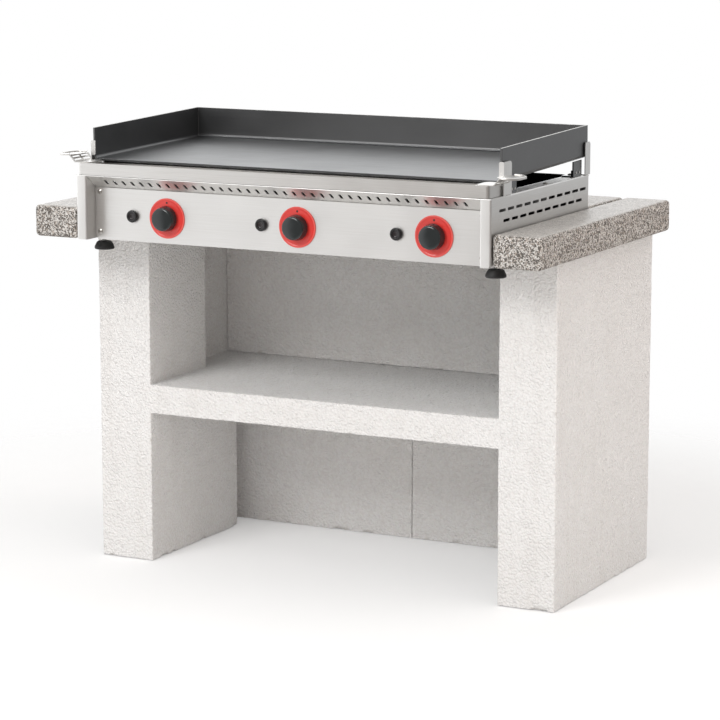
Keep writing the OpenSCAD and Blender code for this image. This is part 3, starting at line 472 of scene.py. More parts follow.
def skim_coated_concrete(look):
    """White skim coat, floated by hand over aerated concrete: chalky and matt, stippled like
    orange peel, with faint upright strokes and, where an edge is chipped, the greyer core."""
    material, tree, spot = blank("skim_coated_concrete")
    cloud = add(tree, "ShaderNodeTexNoise", {"Vector": spot, "Scale": per(140), "Detail": 5.0,
                                             "Roughness": 0.6})
    upright = add(tree, "ShaderNodeMapping",
                  {"Vector": spot, "Scale": (per(26), per(26), per(420))})
    stroke = add(tree, "ShaderNodeTexNoise", {"Vector": upright.outputs[0], "Scale": 1.0,
                                              "Detail": 3.0})
    # The dabs of the real coat are 2 to 3 mm across; they are drawn a little larger to show.
    dabs = add(tree, "ShaderNodeTexVoronoi", {"Vector": spot, "Scale": per(4.6)})
    sand = add(tree, "ShaderNodeTexNoise", {"Vector": spot, "Scale": per(3.4), "Detail": 2.0})
    cloud_share = add(tree, "ShaderNodeMapRange",
                      {"Value": cloud.outputs["Fac"], "From Min": 0.4, "From Max": 0.75})
    tone = add(tree, "ShaderNodeMixRGB", {"Fac": cloud_share.outputs[0], "Color1": rgba(look.skim),
                                          "Color2": rgba("#eeebe8")})
    stroke_share = add(tree, "ShaderNodeMapRange",
                       {"Value": stroke.outputs["Fac"], "From Min": 0.5, "From Max": 0.8,
                        "To Max": 0.4})
    stroked = add(tree, "ShaderNodeMixRGB", {"Fac": stroke_share.outputs[0],
                                             "Color1": tone.outputs[0],
                                             "Color2": rgba("#e8e4e0")})
    dust_share = add(tree, "ShaderNodeMapRange",
                     {"Value": dabs.outputs["Distance"], "From Min": 0.45, "From Max": 0.75,
                      "To Max": 0.3})
    dusty = add(tree, "ShaderNodeMixRGB", {"Fac": dust_share.outputs[0],
                                           "Color1": stroked.outputs[0],
                                           "Color2": rgba(look.soiled)})
    chip = add(tree, "ShaderNodeAttribute", attribute_name="chip")
    colour = add(tree, "ShaderNodeMixRGB", {"Fac": chip.outputs["Fac"],
                                            "Color1": dusty.outputs[0],
                                            "Color2": rgba(look.core)})
    height = add(tree, "ShaderNodeMath", {0: sand.outputs["Fac"], 1: dabs.outputs["Distance"]},
                 operation="SUBTRACT")
    facing = add(tree, "ShaderNodeSeparateXYZ",
                 {0: add(tree, "ShaderNodeNewGeometry").outputs["Normal"]})
    trowelled = add(tree, "ShaderNodeMapRange",
                    {"Value": facing.outputs["Z"], "From Min": 0.5, "From Max": 0.9,
                     "To Max": 3.0})
    swirl = add(tree, "ShaderNodeTexNoise", {"Vector": spot, "Scale": per(8), "Detail": 2.0})
    height = add(tree, "ShaderNodeMath", {0: swirl.outputs["Fac"], 1: trowelled.outputs[0],
                                          2: height.outputs[0]}, operation="MULTIPLY_ADD")
    bump = add(tree, "ShaderNodeBump", {"Height": height.outputs[0], "Strength": 1.0,
                                        "Distance": 0.0026})
    shader = add(tree, "ShaderNodeBsdfPrincipled",
                 {"Base Color": colour.outputs[0], "Roughness": 0.85, "IOR": 1.5,
                  "Sheen Weight": 1.0, "Sheen Roughness": 0.35, "Normal": bump.outputs[0]})
    add(tree, "ShaderNodeOutputMaterial", {"Surface": shader.outputs[0]})
    return material


def stone_chip_concrete(look):
    """Washed concrete with marble, ochre and basalt chips: rough and sparkling on the sides,
    rubbed smooth and paler on top, where the cement film lies over the chips."""
    material, tree, spot = blank("stone_chip_concrete")
    coarse = add(tree, "ShaderNodeTexVoronoi", {"Vector": spot, "Scale": per(2.7)})
    fine = add(tree, "ShaderNodeTexVoronoi", {"Vector": spot, "Scale": per(1.7)})
    picks = [add(tree, "ShaderNodeSeparateColor", {"Color": cells.outputs["Color"]})
             for cells in (coarse, fine)]
    colour = rgba(look.cement)
    for pick, channel, start, chip in ((0, 0, 0.62, look.pale), (0, 1, 0.70, look.tan),
                                       (0, 2, 0.66, look.dark), (1, 0, 0.76, look.pale),
                                       (1, 1, 0.74, look.dark)):
        share = add(tree, "ShaderNodeMath", {0: picks[pick].outputs[channel], 1: start},
                    operation="GREATER_THAN")
        colour = add(tree, "ShaderNodeMixRGB", {"Fac": share.outputs[0], "Color1": colour,
                                                "Color2": rgba(chip)}).outputs[0]
    facing = add(tree, "ShaderNodeSeparateXYZ",
                 {0: add(tree, "ShaderNodeNewGeometry").outputs["Normal"]})
    top = add(tree, "ShaderNodeMapRange", {"Value": facing.outputs["Z"], "From Min": 0.75,
                                           "From Max": 0.97})
    film_noise = add(tree, "ShaderNodeTexNoise", {"Vector": spot, "Scale": per(16), "Detail": 4.0})
    film = add(tree, "ShaderNodeMapRange",
               {"Value": film_noise.outputs["Fac"], "From Min": 0.3, "From Max": 0.7,
                "To Min": 0.35, "To Max": 0.7})
    film_share = add(tree, "ShaderNodeMath", {0: film.outputs[0], 1: top.outputs[0]},
                     operation="MULTIPLY")
    colour = add(tree, "ShaderNodeMixRGB", {"Fac": film_share.outputs[0], "Color1": colour,
                                            "Color2": rgba("#c4c0bb")}).outputs[0]
    rough = add(tree, "ShaderNodeMapRange", {"Value": top.outputs[0], "To Min": 0.8,
                                             "To Max": 0.42})
    relief = add(tree, "ShaderNodeMapRange", {"Value": coarse.outputs["Distance"], "From Max": 0.7,
                                              "To Min": 1.0, "To Max": 0.0})
    strength = add(tree, "ShaderNodeMapRange", {"Value": top.outputs[0], "To Min": 0.45,
                                                "To Max": 0.02})
    bump = add(tree, "ShaderNodeBump", {"Height": relief.outputs[0],
                                        "Strength": strength.outputs[0], "Distance": 0.0012})
    shader = add(tree, "ShaderNodeBsdfPrincipled",
                 {"Base Color": colour, "Roughness": rough.outputs[0], "IOR": 1.4,
                  "Normal": bump.outputs[0]})
    add(tree, "ShaderNodeOutputMaterial", {"Surface": shader.outputs[0]})
    return material


def brushed_stainless(name, colour, along, rough=0.34, streak_colour="#c2beb9"):
    """Cold-rolled stainless sheet, brushed along one axis: fine streaks in its gloss, faint
    clouds from handling, and a slow waviness that bends what it mirrors."""
    material, tree, spot = blank(name)
    stretch = [per(0.7)] * 3
    stretch[along] = per(90)
    brushed = add(tree, "ShaderNodeMapping", {"Vector": spot, "Scale": stretch})
    streak = add(tree, "ShaderNodeTexNoise", {"Vector": brushed.outputs[0], "Scale": 1.0,
                                              "Detail": 3.0, "Roughness": 0.6})
    handling = add(tree, "ShaderNodeTexNoise", {"Vector": spot, "Scale": per(70), "Detail": 4.0})
    wave = add(tree, "ShaderNodeTexNoise", {"Vector": spot, "Scale": per(160), "Detail": 1.0})
    tint = add(tree, "ShaderNodeMapRange", {"Value": streak.outputs["Fac"], "From Min": 0.3,
                                            "From Max": 0.7, "To Min": 0.0, "To Max": 0.25})
    base = add(tree, "ShaderNodeMixRGB", {"Fac": tint.outputs[0], "Color1": rgba(colour),
                                          "Color2": rgba(streak_colour)})
    streak_rough = add(tree, "ShaderNodeMapRange",
                       {"Value": streak.outputs["Fac"], "From Min": 0.25, "From Max": 0.75,
                        "To Min": rough - 0.04, "To Max": rough + 0.05})
    cloud_rough = add(tree, "ShaderNodeMapRange",
                      {"Value": handling.outputs["Fac"], "From Min": 0.35, "From Max": 0.7,
                       "To Min": 0.0, "To Max": 0.07})
    gloss = add(tree, "ShaderNodeMath", {0: streak_rough.outputs[0], 1: cloud_rough.outputs[0]},
                operation="ADD")
    slow = add(tree, "ShaderNodeBump", {"Height": wave.outputs["Fac"], "Strength": 0.5,
                                        "Distance": 0.002})
    bump = add(tree, "ShaderNodeBump", {"Height": streak.outputs["Fac"], "Strength": 0.10,
                                        "Distance": 0.0002, "Normal": slow.outputs[0]})
    shader = add(tree, "ShaderNodeBsdfPrincipled",
                 {"Base Color": base.outputs[0], "Metallic": 1.0, "Roughness": gloss.outputs[0],
                  "Normal": bump.outputs[0]})
    add(tree, "ShaderNodeOutputMaterial", {"Surface": shader.outputs[0]})
    return material


def oiled_steel(look):
    """Hot-rolled steel plate burnt in with oil: a black satin film with faint rolling lines,
    clouds and the odd wiped patch. Burnt oil over the oxide has a high index, about 2."""
    material, tree, spot = blank("oiled_steel_plate")
    rolled = add(tree, "ShaderNodeMapping", {"Vector": spot,
                                             "Scale": (per(220), per(3), per(3))})
    lines = add(tree, "ShaderNodeTexNoise", {"Vector": rolled.outputs[0], "Scale": 1.0,
                                             "Detail": 3.0})
    cloud = add(tree, "ShaderNodeTexNoise", {"Vector": spot, "Scale": per(110), "Detail": 5.0})
    grain = add(tree, "ShaderNodeTexNoise", {"Vector": spot, "Scale": per(1.6), "Detail": 2.0})
    patch = add(tree, "ShaderNodeMapRange", {"Value": cloud.outputs["Fac"], "From Min": 0.42,
                                             "From Max": 0.68})
    colour = add(tree, "ShaderNodeMixRGB", {"Fac": patch.outputs[0], "Color1": rgba(look.oiled),
                                            "Color2": rgba("#1c1d1f")})
    film = add(tree, "ShaderNodeMapRange", {"Value": cloud.outputs["Fac"], "From Min": 0.35,
                                            "From Max": 0.7, "To Min": 0.34, "To Max": 0.41})
    line_rough = add(tree, "ShaderNodeMapRange", {"Value": lines.outputs["Fac"], "From Min": 0.3,
                                                  "From Max": 0.7, "To Min": -0.02,
                                                  "To Max": 0.03})
    rough = add(tree, "ShaderNodeMath", {0: film.outputs[0], 1: line_rough.outputs[0]},
                operation="ADD")
    bump = add(tree, "ShaderNodeBump", {"Height": grain.outputs["Fac"], "Strength": 0.12,
                                        "Distance": 0.0002})
    shader = add(tree, "ShaderNodeBsdfPrincipled",
                 {"Base Color": colour.outputs[0], "Roughness": rough.outputs[0], "IOR": 2.0,
                  "Normal": bump.outputs[0]})
    add(tree, "ShaderNodeOutputMaterial", {"Surface": shader.outputs[0]})
    return material


def plain_metal(name, colour, cloud_tone, rough, grain_mm):
    """A bare or plated metal: bright, with spangle or tint clouds and a fine grain."""
    material, tree, spot = blank(name)
    cloud = add(tree, "ShaderNodeTexNoise", {"Vector": spot, "Scale": per(grain_mm * 12),
                                             "Detail": 4.0})
    grain = add(tree, "ShaderNodeTexNoise", {"Vector": spot, "Scale": per(grain_mm),
                                             "Detail": 2.0})
    share = add(tree, "ShaderNodeMapRange", {"Value": cloud.outputs["Fac"], "From Min": 0.35,
                                             "From Max": 0.7})
    base = add(tree, "ShaderNodeMixRGB", {"Fac": share.outputs[0], "Color1": rgba(colour),
                                          "Color2": rgba(cloud_tone)})
    gloss = add(tree, "ShaderNodeMapRange", {"Value": grain.outputs["Fac"], "From Min": 0.3,
                                             "From Max": 0.7, "To Min": rough - 0.06,
                                             "To Max": rough + 0.08})
    bump = add(tree, "ShaderNodeBump", {"Height": grain.outputs["Fac"], "Strength": 0.2,
                                        "Distance": 0.0002})
    shader = add(tree, "ShaderNodeBsdfPrincipled",
                 {"Base Color": base.outputs[0], "Metallic": 1.0, "Roughness": gloss.outputs[0],
                  "Normal": bump.outputs[0]})
    add(tree, "ShaderNodeOutputMaterial", {"Surface": shader.outputs[0]})
    return material


def moulded(name, colour, cloud_tone, rough, grain_mm, coat=0.0):
    """A moulded, glazed or enamelled surface: one colour with a faint haze of a second tone, and a
    fine texture from its mould or its firing. The haze is wear on most parts; on the bezel rims it
    is part of a painted highlight, and on the igniter buttons a painted red reflection."""
    material, tree, spot = blank(name)
    haze = add(tree, "ShaderNodeTexNoise", {"Vector": spot, "Scale": per(18), "Detail": 5.0})
    grain = add(tree, "ShaderNodeTexNoise", {"Vector": spot, "Scale": per(grain_mm),
                                             "Detail": 2.0})
    share = add(tree, "ShaderNodeMapRange", {"Value": haze.outputs["Fac"], "From Min": 0.45,
                                             "From Max": 0.75, "To Max": 0.5})
    base = add(tree, "ShaderNodeMixRGB", {"Fac": share.outputs[0], "Color1": rgba(colour),
                                          "Color2": rgba(cloud_tone)})
    gloss = add(tree, "ShaderNodeMapRange", {"Value": haze.outputs["Fac"], "From Min": 0.35,
                                             "From Max": 0.7, "To Min": rough,
                                             "To Max": rough + 0.09})
    bump = add(tree, "ShaderNodeBump", {"Height": grain.outputs["Fac"], "Strength": 0.25,
                                        "Distance": 0.0001})
    shader = add(tree, "ShaderNodeBsdfPrincipled",
                 {"Base Color": base.outputs[0], "Roughness": gloss.outputs[0], "IOR": 1.5,
                  "Coat Weight": coat, "Coat Roughness": 0.08, "Normal": bump.outputs[0]})
    add(tree, "ShaderNodeOutputMaterial", {"Surface": shader.outputs[0]})
    return material


# Operators, one for each piece or group of like pieces


class GRIDDLE_OT_stand(bpy.types.Operator):
    """Build the legs and shelf as one plastered body, and the three back boards"""

    bl_idname = "griddle.stand"
    bl_label = "Masonry stand"

    def board(self, name, nodes, step, inset, edge, look, material):
        """The skin of the boards, drawn in by low lumps and by chips along the edges.

        depth = 0.25 mm (1 + lumps of 60 mm) + 0.15 mm (1 + lumps of 12 mm), and on edges
        0.35 mm (1 + lumps of 7 mm) + chip (lumps of 15 mm over a limit that falls near the floor).
        """
        blocks = [np.array(box(node)) + inset for node in nodes]
        points, faces, away = shell(blocks, step)
        folds = np.abs(away).sum(-1) > 1.5
        depth = 0.25 * MM * (1 + lumps(points, 0.06, 3)) + 0.15 * MM * (1 + lumps(points, 0.012, 5))
        depth = depth + 0.35 * MM * (1 + lumps(points, 0.007, 7)) * folds
        low = np.clip((0.1 - points[:, 2]) / 0.1, 0, 1)
        nick = np.clip((lumps(points, 0.015, 11) - 0.72 + 0.4 * low) / 0.4, 0, 1) * folds
        depth = depth + look.chip * nick * (0.5 + 0.5 * low)
        points = points - away * depth[:, None]
        points[:, 2] = np.maximum(points[:, 2], 0.0)
        piece = put(name, "frame", points, faces, [material], replaces=nodes,
                    mend=False, sharp=70)
        chip = piece.data.attributes.new("chip", "FLOAT", "POINT")
        chip.data.foreach_set("value", (nick > 0.15).astype(np.float32) * 0.8)
        return ease_edges(piece, edge, angle=55)

    def execute(self, context):
        look = context.scene.griddle_stand
        coat = skim_coated_concrete(look)
        legs = [f"{side}_{part}_wall" for side in SIDES for part in ("outer", "lower", "upper")]
        flush = np.zeros((2, 3))
        self.board("plastered_legs_and_shelf", legs + ["shelf"], LEG_GRID, flush, look.edge,
                   look, coat)
        seam = np.array([[1, 0, 0], [-1, 0, 0]]) * look.seam
        for node in ("left_back_board", "right_back_board", "upper_back_board"):
            self.board(node + "_plastered", [node], BACK_GRID, seam, look.seam, look, coat)
        return {"FINISHED"}


class GRIDDLE_OT_worktops(bpy.types.Operator):
    """Build the three stone-chip slabs, washed on the sides and rubbed smooth on top"""

    bl_idname = "griddle.worktops"
    bl_label = "Stone-chip worktops"

    def execute(self, context):
        look = context.scene.griddle_worktops
        chips = stone_chip_concrete(look)
        for node in ("left_worktop", "right_worktop", "rear_worktop"):
            low, high = box(node)
            points, faces, away = rounded_block(low, high, look.radius, SLAB_GRID)
            washed = np.clip(1.15 - np.abs(away[:, 2]), 0.1, 1)
            hollow = np.clip(pebbles(points, 0.0052, 21), 0, 1) * 0.8
            hollow += 0.2 * (1 + lumps(points, 0.03, 25))
            points = points - away * (look.relief * washed * hollow)[:, None]
            put(node + "_slab", "frame", points, faces, [chips], replaces=(node,),
                mend=False, sharp=80)
        return {"FINISHED"}


class GRIDDLE_OT_plate(bpy.types.Operator):
    """Build the griddle plate: a floor and three bent-up walls, open at the front"""

    bl_idname = "griddle.plate"
    bl_label = "Griddle plate"

    def execute(self, context):
        look = context.scene.griddle_plate
        low, high = box("griddle_plate")
        thick, bend, fall = look.thickness, look.bend, look.fall
        front = low[1] + PLATE_WALL * math.sin(fall)
        half = high[0]
        deep = (high[1] - front + bend * math.sin(fall)) / math.cos(fall)
        # The profile, from an outer top edge down, under, and back up inside: each point's
        # distance from the outer face and its height.
        a = np.linspace(math.pi, 1.5 * math.pi, 13)
        outer = np.stack([bend + bend * np.cos(a), bend + bend * np.sin(a)], -1)
        inner = np.stack([bend + (bend - thick) * np.cos(a), bend + (bend - thick) * np.sin(a)], -1)
        outer = np.concatenate([[[0, PLATE_WALL]], outer])
        inner = np.concatenate([[[thick, PLATE_WALL]], inner])
        profile = np.concatenate([outer, inner[::-1]])
        # It is carried along the left wall, the back and the right wall, mitred at the corners:
        # p(k, s) = corner s, drawn in by the profile's distance.
        o, z = profile.T
        stations = [(-half + o, 0 * o), (-half + o, deep - o), (half - o, deep - o),
                    (half - o, 0 * o)]
        points = np.stack([np.stack([x, y, z], -1) for x, y in stations], 1)
        count, rows = len(outer), len(profile)
        index = np.arange(rows * 4).reshape(rows, 4)
        sides = np.stack([index[:-1, :-1], index[:-1, 1:], index[1:, 1:], index[1:, :-1]], -1)
        sides = np.delete(sides, count - 1, axis=0).reshape(-1, 4)
        rim = np.stack([index[-1, :-1], index[-1, 1:], index[0, 1:], index[0, :-1]], -1)
        under, floor = index[count - 1], index[count]
        flats = np.stack([under, floor, [under[0], under[3], floor[3], floor[0]]])
        ends = np.concatenate([
            np.stack([index[:count - 1, s], index[1:count, s], index[::-1][1:count, s],
                      index[::-1][:count - 1, s]], -1) for s in (0, 3)])
        faces = np.concatenate([sides, flats, ends, rim])
        marks = np.concatenate([np.zeros(len(faces) - len(rim)), np.ones(len(rim))])
        points = points.reshape(-1, 3)
        x, y, z = points.T
        points = np.stack([x, front + y * math.cos(fall) - z * math.sin(fall),
                           low[2] + y * math.sin(fall) + z * math.cos(fall)], -1)
        steel = [oiled_steel(look),
                 plain_metal("laser_cut_steel_edge", look.bare, "#7f7c78", 0.42, 0.8)]
        plate = put("oiled_griddle_plate", "griddle_plate", points, faces, steel,
                    marks, replaces=("griddle_plate",), sharp=40)
        ease_edges(plate, 0.5 * MM, angle=60)
        return {"FINISHED"}


class GRIDDLE_OT_cabinet(bpy.types.Operator):
    """Ease the edges of the stainless sheets: sides, rail, panels, posts, tray and handles"""

    bl_idname = "griddle.cabinet"
    bl_label = "Stainless cabinet"

    def execute(self, context):
        look = context.scene.griddle_steel
        across = brushed_stainless("stainless_brushed_across", look.steel, 0)
        deep = brushed_stainless("stainless_brushed_front_to_back", look.steel, 1, 0.38)
        upright = brushed_stainless("stainless_brushed_upright", look.steel, 2)
        # The tray and its handles get darker steel with darker streaks: painted shade for the dark
        # reflections they show, not fat.
        tray_painted_darker = brushed_stainless("stainless_tray_painted_darker", look.tray, 0, 0.32, "#8f8b86")
        handles_painted_darker = brushed_stainless("stainless_handles_painted_darker", look.tray, 1, 0.32, "#8f8b86")
        for side in SIDES:
            refined(side + "_side_panel", "frame", deep, look.edge)
            refined(side + "_front_post", "frame", upright, look.edge)
            refined(side + "_rear_post", "frame", upright, look.edge)
            refined(side + "_tray_handle", "grease_tray", handles_painted_darker, look.edge)
        for node in ("front_rail", "control_panel", "rear_panel"):
            refined(node, "frame", across, look.edge)
        refined("grease_tray", "grease_tray", tray_painted_darker, look.edge)
        return {"FINISHED"}


class GRIDDLE_OT_bezels(bpy.types.Operator):
    """Build the round bezels with their paler rims, a painted highlight, and their index marks"""

    bl_idname = "griddle.bezels"
    bl_label = "Bezels"

    def execute(self, context):
        look = context.scene.griddle_controls
        red = moulded("red_lacquered_aluminium", look.red, "#c93a35", 0.3, 0.6, coat=0.3)
        # The rim is drawn in a paler red, with a paler haze: a painted highlight along the bezel's
        # edge.
        rim = moulded("bezel_rim_painted_highlight", look.rim, "#e06a62", 0.35, 0.6)
        mark = moulded("index_mark_paint", "#2a1514", "#3a1c1a", 0.5, 0.5)
        for side in CONTROLS:
            radius, thick, centre = round_front(side + "_bezel")
            bore, sunk, crest = 6.5 * MM, thick - 0.9 * MM, radius - 2.6 * MM
            dish = eased([(bore, 0, 0), (bore, sunk, 0.3 * MM), (radius - 5 * MM, sunk, 1.5 * MM),
                          (crest, thick, 0.5 * MM)])
            lip = eased([(crest, thick, 0), (radius - 0.4 * MM, thick, 0.5 * MM),
                         (radius, thick - 0.7 * MM, 0.4 * MM), (radius, 0, 0), (bore, 0, 0)])
            dot_at = centre + np.array([0, -sunk, radius - 8 * MM])
            dot = [(0, 0.02 * MM), (1.5 * MM, 0.05 * MM), (1.9 * MM, 0.02 * MM),
                   (2.0 * MM, -0.3 * MM), (0, -0.3 * MM)]
            points, faces, marks = joined(turned(dish, centre, "front", ROUND),
                                          turned(lip, centre, "front", ROUND),
                                          turned(dot, dot_at, "front", 24))
            put(side + "_round_bezel", "frame", points, faces, [red, rim, mark],
                marks, replaces=(side + "_bezel",))
        return {"FINISHED"}


class GRIDDLE_OT_knobs(bpy.types.Operator):
    """Build the knobs: a tapered grip that rounds over into a softly domed face"""

    bl_idname = "griddle.knobs"
    bl_label = "Knobs"

    def execute(self, context):
        look = context.scene.griddle_controls
        phenolic = moulded("phenolic_knob", look.knob, "#24292a", 0.10, 1.2)
        for side in CONTROLS:
            radius, tall, centre = round_front(side + "_knob")
            face, bore, skirt = radius - 2 * MM, 4.1 * MM, radius - 3.5 * MM
            grip = eased([(bore, 3 * MM, 0), (skirt, 3 * MM, 1 * MM), (skirt, 0, 0.3 * MM),
                          (radius, 0, 0.8 * MM), (face, tall - 6.5 * MM, 2 * MM),
                          (face - 0.6 * MM, tall - 1.1 * MM, 5.4 * MM),
                          (face - 10 * MM, tall - 0.3 * MM, 3 * MM), (0, tall, 0)])
            hub = [(0, 12.5 * MM), (bore, 12.5 * MM), (bore, 3 * MM)]
            points, faces = turned(np.concatenate([hub, grip[1:]]), centre, "front", ROUND)
            put(side + "_turning_knob", side + "_knob", points, faces, [phenolic],
                replaces=(side + "_knob",))
        return {"FINISHED"}


class GRIDDLE_OT_igniters(bpy.types.Operator):
    """Build the igniter rings and their dished buttons"""

    bl_idname = "griddle.igniters"
    bl_label = "Igniters"

    def execute(self, context):
        look = context.scene.griddle_controls
        black = moulded("black_abs_ring", look.black, "#242223", 0.25, 0.8)
        # The button's black is tinged red and its haze is red: painted reflection of the red bezel
        # beside it.
        cap = moulded("black_abs_button", "#1d1718", "#3a2a2a", 0.2, 0.8)
        for side in CONTROLS:
            radius, tall, centre = round_front(side + "_button")
            button = eased([(0, 0, 0), (radius, 0, 0.3 * MM), (radius, tall, 0.7 * MM),
                            (radius - 1.4 * MM, tall, 0.5 * MM),
                            (radius - 2.6 * MM, tall - 0.6 * MM, 0.6 * MM),
                            (0, tall - 0.8 * MM, 0)])
            points, faces = turned(button, centre, "front", 48)
            put(side + "_dished_button", side + "_button", points, faces, [cap],
                replaces=(side + "_button",))
            face = np.array([centre[0], box(side + "_igniter")[0][1] + 6.5 * MM, centre[2]])
            bore = radius + 0.06 * MM
            ring = eased([(0, -15.7 * MM, 0), (bore, -15.7 * MM, 0.3 * MM),
                          (bore, 6.2 * MM, 0.3 * MM), (7.6 * MM, 6.5 * MM, 0.5 * MM),
                          (9.6 * MM, 6.5 * MM, 1.2 * MM), (11 * MM, 4.6 * MM, 1.4 * MM),
                          (11 * MM, 0, 0), (7.3 * MM, 0, 0), (7.3 * MM, -10 * MM, 0),
                          (9 * MM, -10 * MM, 0.6 * MM), (9 * MM, -50 * MM, 1.5 * MM),
                          (0, -50 * MM, 0)])
            nut = np.array([(7.2, -1.5), (11.4, -1.5), (12, -2), (12, -6), (11.4, -6.5),
                            (7.2, -6.5), (7.2, -1.5)]) * MM
            points, faces, _ = joined(turned(ring, face, "front", 64),
                                      turned(nut, face, "front", 6))
            put(side + "_igniter_ring", "frame", points, faces, [black],
                replaces=(side + "_igniter",))
        return {"FINISHED"}


class GRIDDLE_OT_feet(bpy.types.Operator):
    """Build the rubber feet on their studs, with their lock nuts"""

    bl_idname = "griddle.feet"
    bl_label = "Feet"

    def execute(self, context):
        look = context.scene.griddle_controls
        rubber = moulded("black_rubber", look.rubber, "#2b2b2a", 0.55, 0.9)
        zinc = plain_metal("zinc_plated_stud", "#b9bbb8", "#8d8f8c", 0.35, 0.7)
        low, high = box("feet")
        r = 18 * MM
        foot = eased([(0, 0, 0), (r - 1.2 * MM, 0, 0.8 * MM), (r, 2 * MM, 1.5 * MM),
                      (r - 0.6 * MM, 5 * MM, 1.5 * MM), (r - 4.2 * MM, 12.2 * MM, 2 * MM),
                      (r - 6.5 * MM, 14 * MM, 1 * MM), (0, 14 * MM, 0)])
        tall = high[2] - low[2]
        nut = np.array([(0, tall - 5 * MM), (6.9 * MM, tall - 5 * MM), (7.5 * MM, tall - 4.4 * MM),
                        (7.5 * MM, tall - 0.6 * MM), (6.9 * MM, tall), (0, tall)])
        pitch = np.arange(14 * MM, tall - 5 * MM, 0.625 * MM)
        thread = np.concatenate([[(0, 13.9 * MM)],
                                 np.stack([np.where(np.arange(len(pitch)) % 2, 4 * MM, 3.5 * MM),
                                           pitch], -1),
                                 [(3.5 * MM, tall - 4.9 * MM), (0, tall - 4.9 * MM)]])
        parts = []
        for x in (low[0] + r, high[0] - r):
            for y in (low[1] + r, high[1] - r):
                at = np.array([x, y, low[2]])
                parts += [turned(foot, at, "up", 64), turned(nut, at, "up", 6),
                          turned(thread, at, "up", 32)]
        points, faces, marks = joined(*parts)
        put("rubber_feet_and_nuts", "frame", points, faces, [rubber, zinc],
            np.minimum(marks % 3, 1), replaces=("feet",))
        return {"FINISHED"}


class GRIDDLE_OT_inner_parts(bpy.types.Operator):
    """Give the burner box, the burners, the valves and the gas line their materials"""

    bl_idname = "griddle.inner_parts"
    bl_label = "Inner parts"

    def execute(self, context):
        look = context.scene.griddle_steel
        enamel = moulded("fired_black_enamel", look.enamel, "#242527", 0.18, 2.5, coat=0.5)
        refined("burner_box", "frame", enamel, 0.3 * MM)
        refined("plate_rests", "frame", enamel, 0.3 * MM)
        refined("screws", "frame",
                plain_metal("stainless_screw", "#c9c6c1", "#9b9893", 0.28, 0.5), 0.15 * MM)
        dress(plain_metal("galvanised_base_sheet", "#a9aaa7", "#878986", 0.4, 4.0), "base_pan")
        dress(plain_metal("heat_tinted_burner_steel", "#9a958c", "#6f5a4a", 0.36, 2.0),
              *[side + "_burner" for side in CONTROLS])
        dress(plain_metal("cast_brass", "#b8974f", "#8f7440", 0.38, 1.0), "gas_inlet", "injectors",
              *[f"{side}_{part}" for side in CONTROLS for part in ("valve", "thrust_ring")])
        dress(plain_metal("zinc_plated_tube", "#b4b6b3", "#8e908d", 0.34, 1.5), "gas_manifold")
        dress(plain_metal("turned_steel_stem", "#bcbab6", "#94918c", 0.3, 0.6),
              *[side + "_stem" for side in CONTROLS])
        dress(moulded("glazed_alumina", "#e6e1d4", "#cfc8b8", 0.22, 1.5), "electrodes")
        dress(moulded("silicone_lead", "#8c2a24", "#74221e", 0.5, 1.0), "igniter_leads")
        return {"FINISHED"}


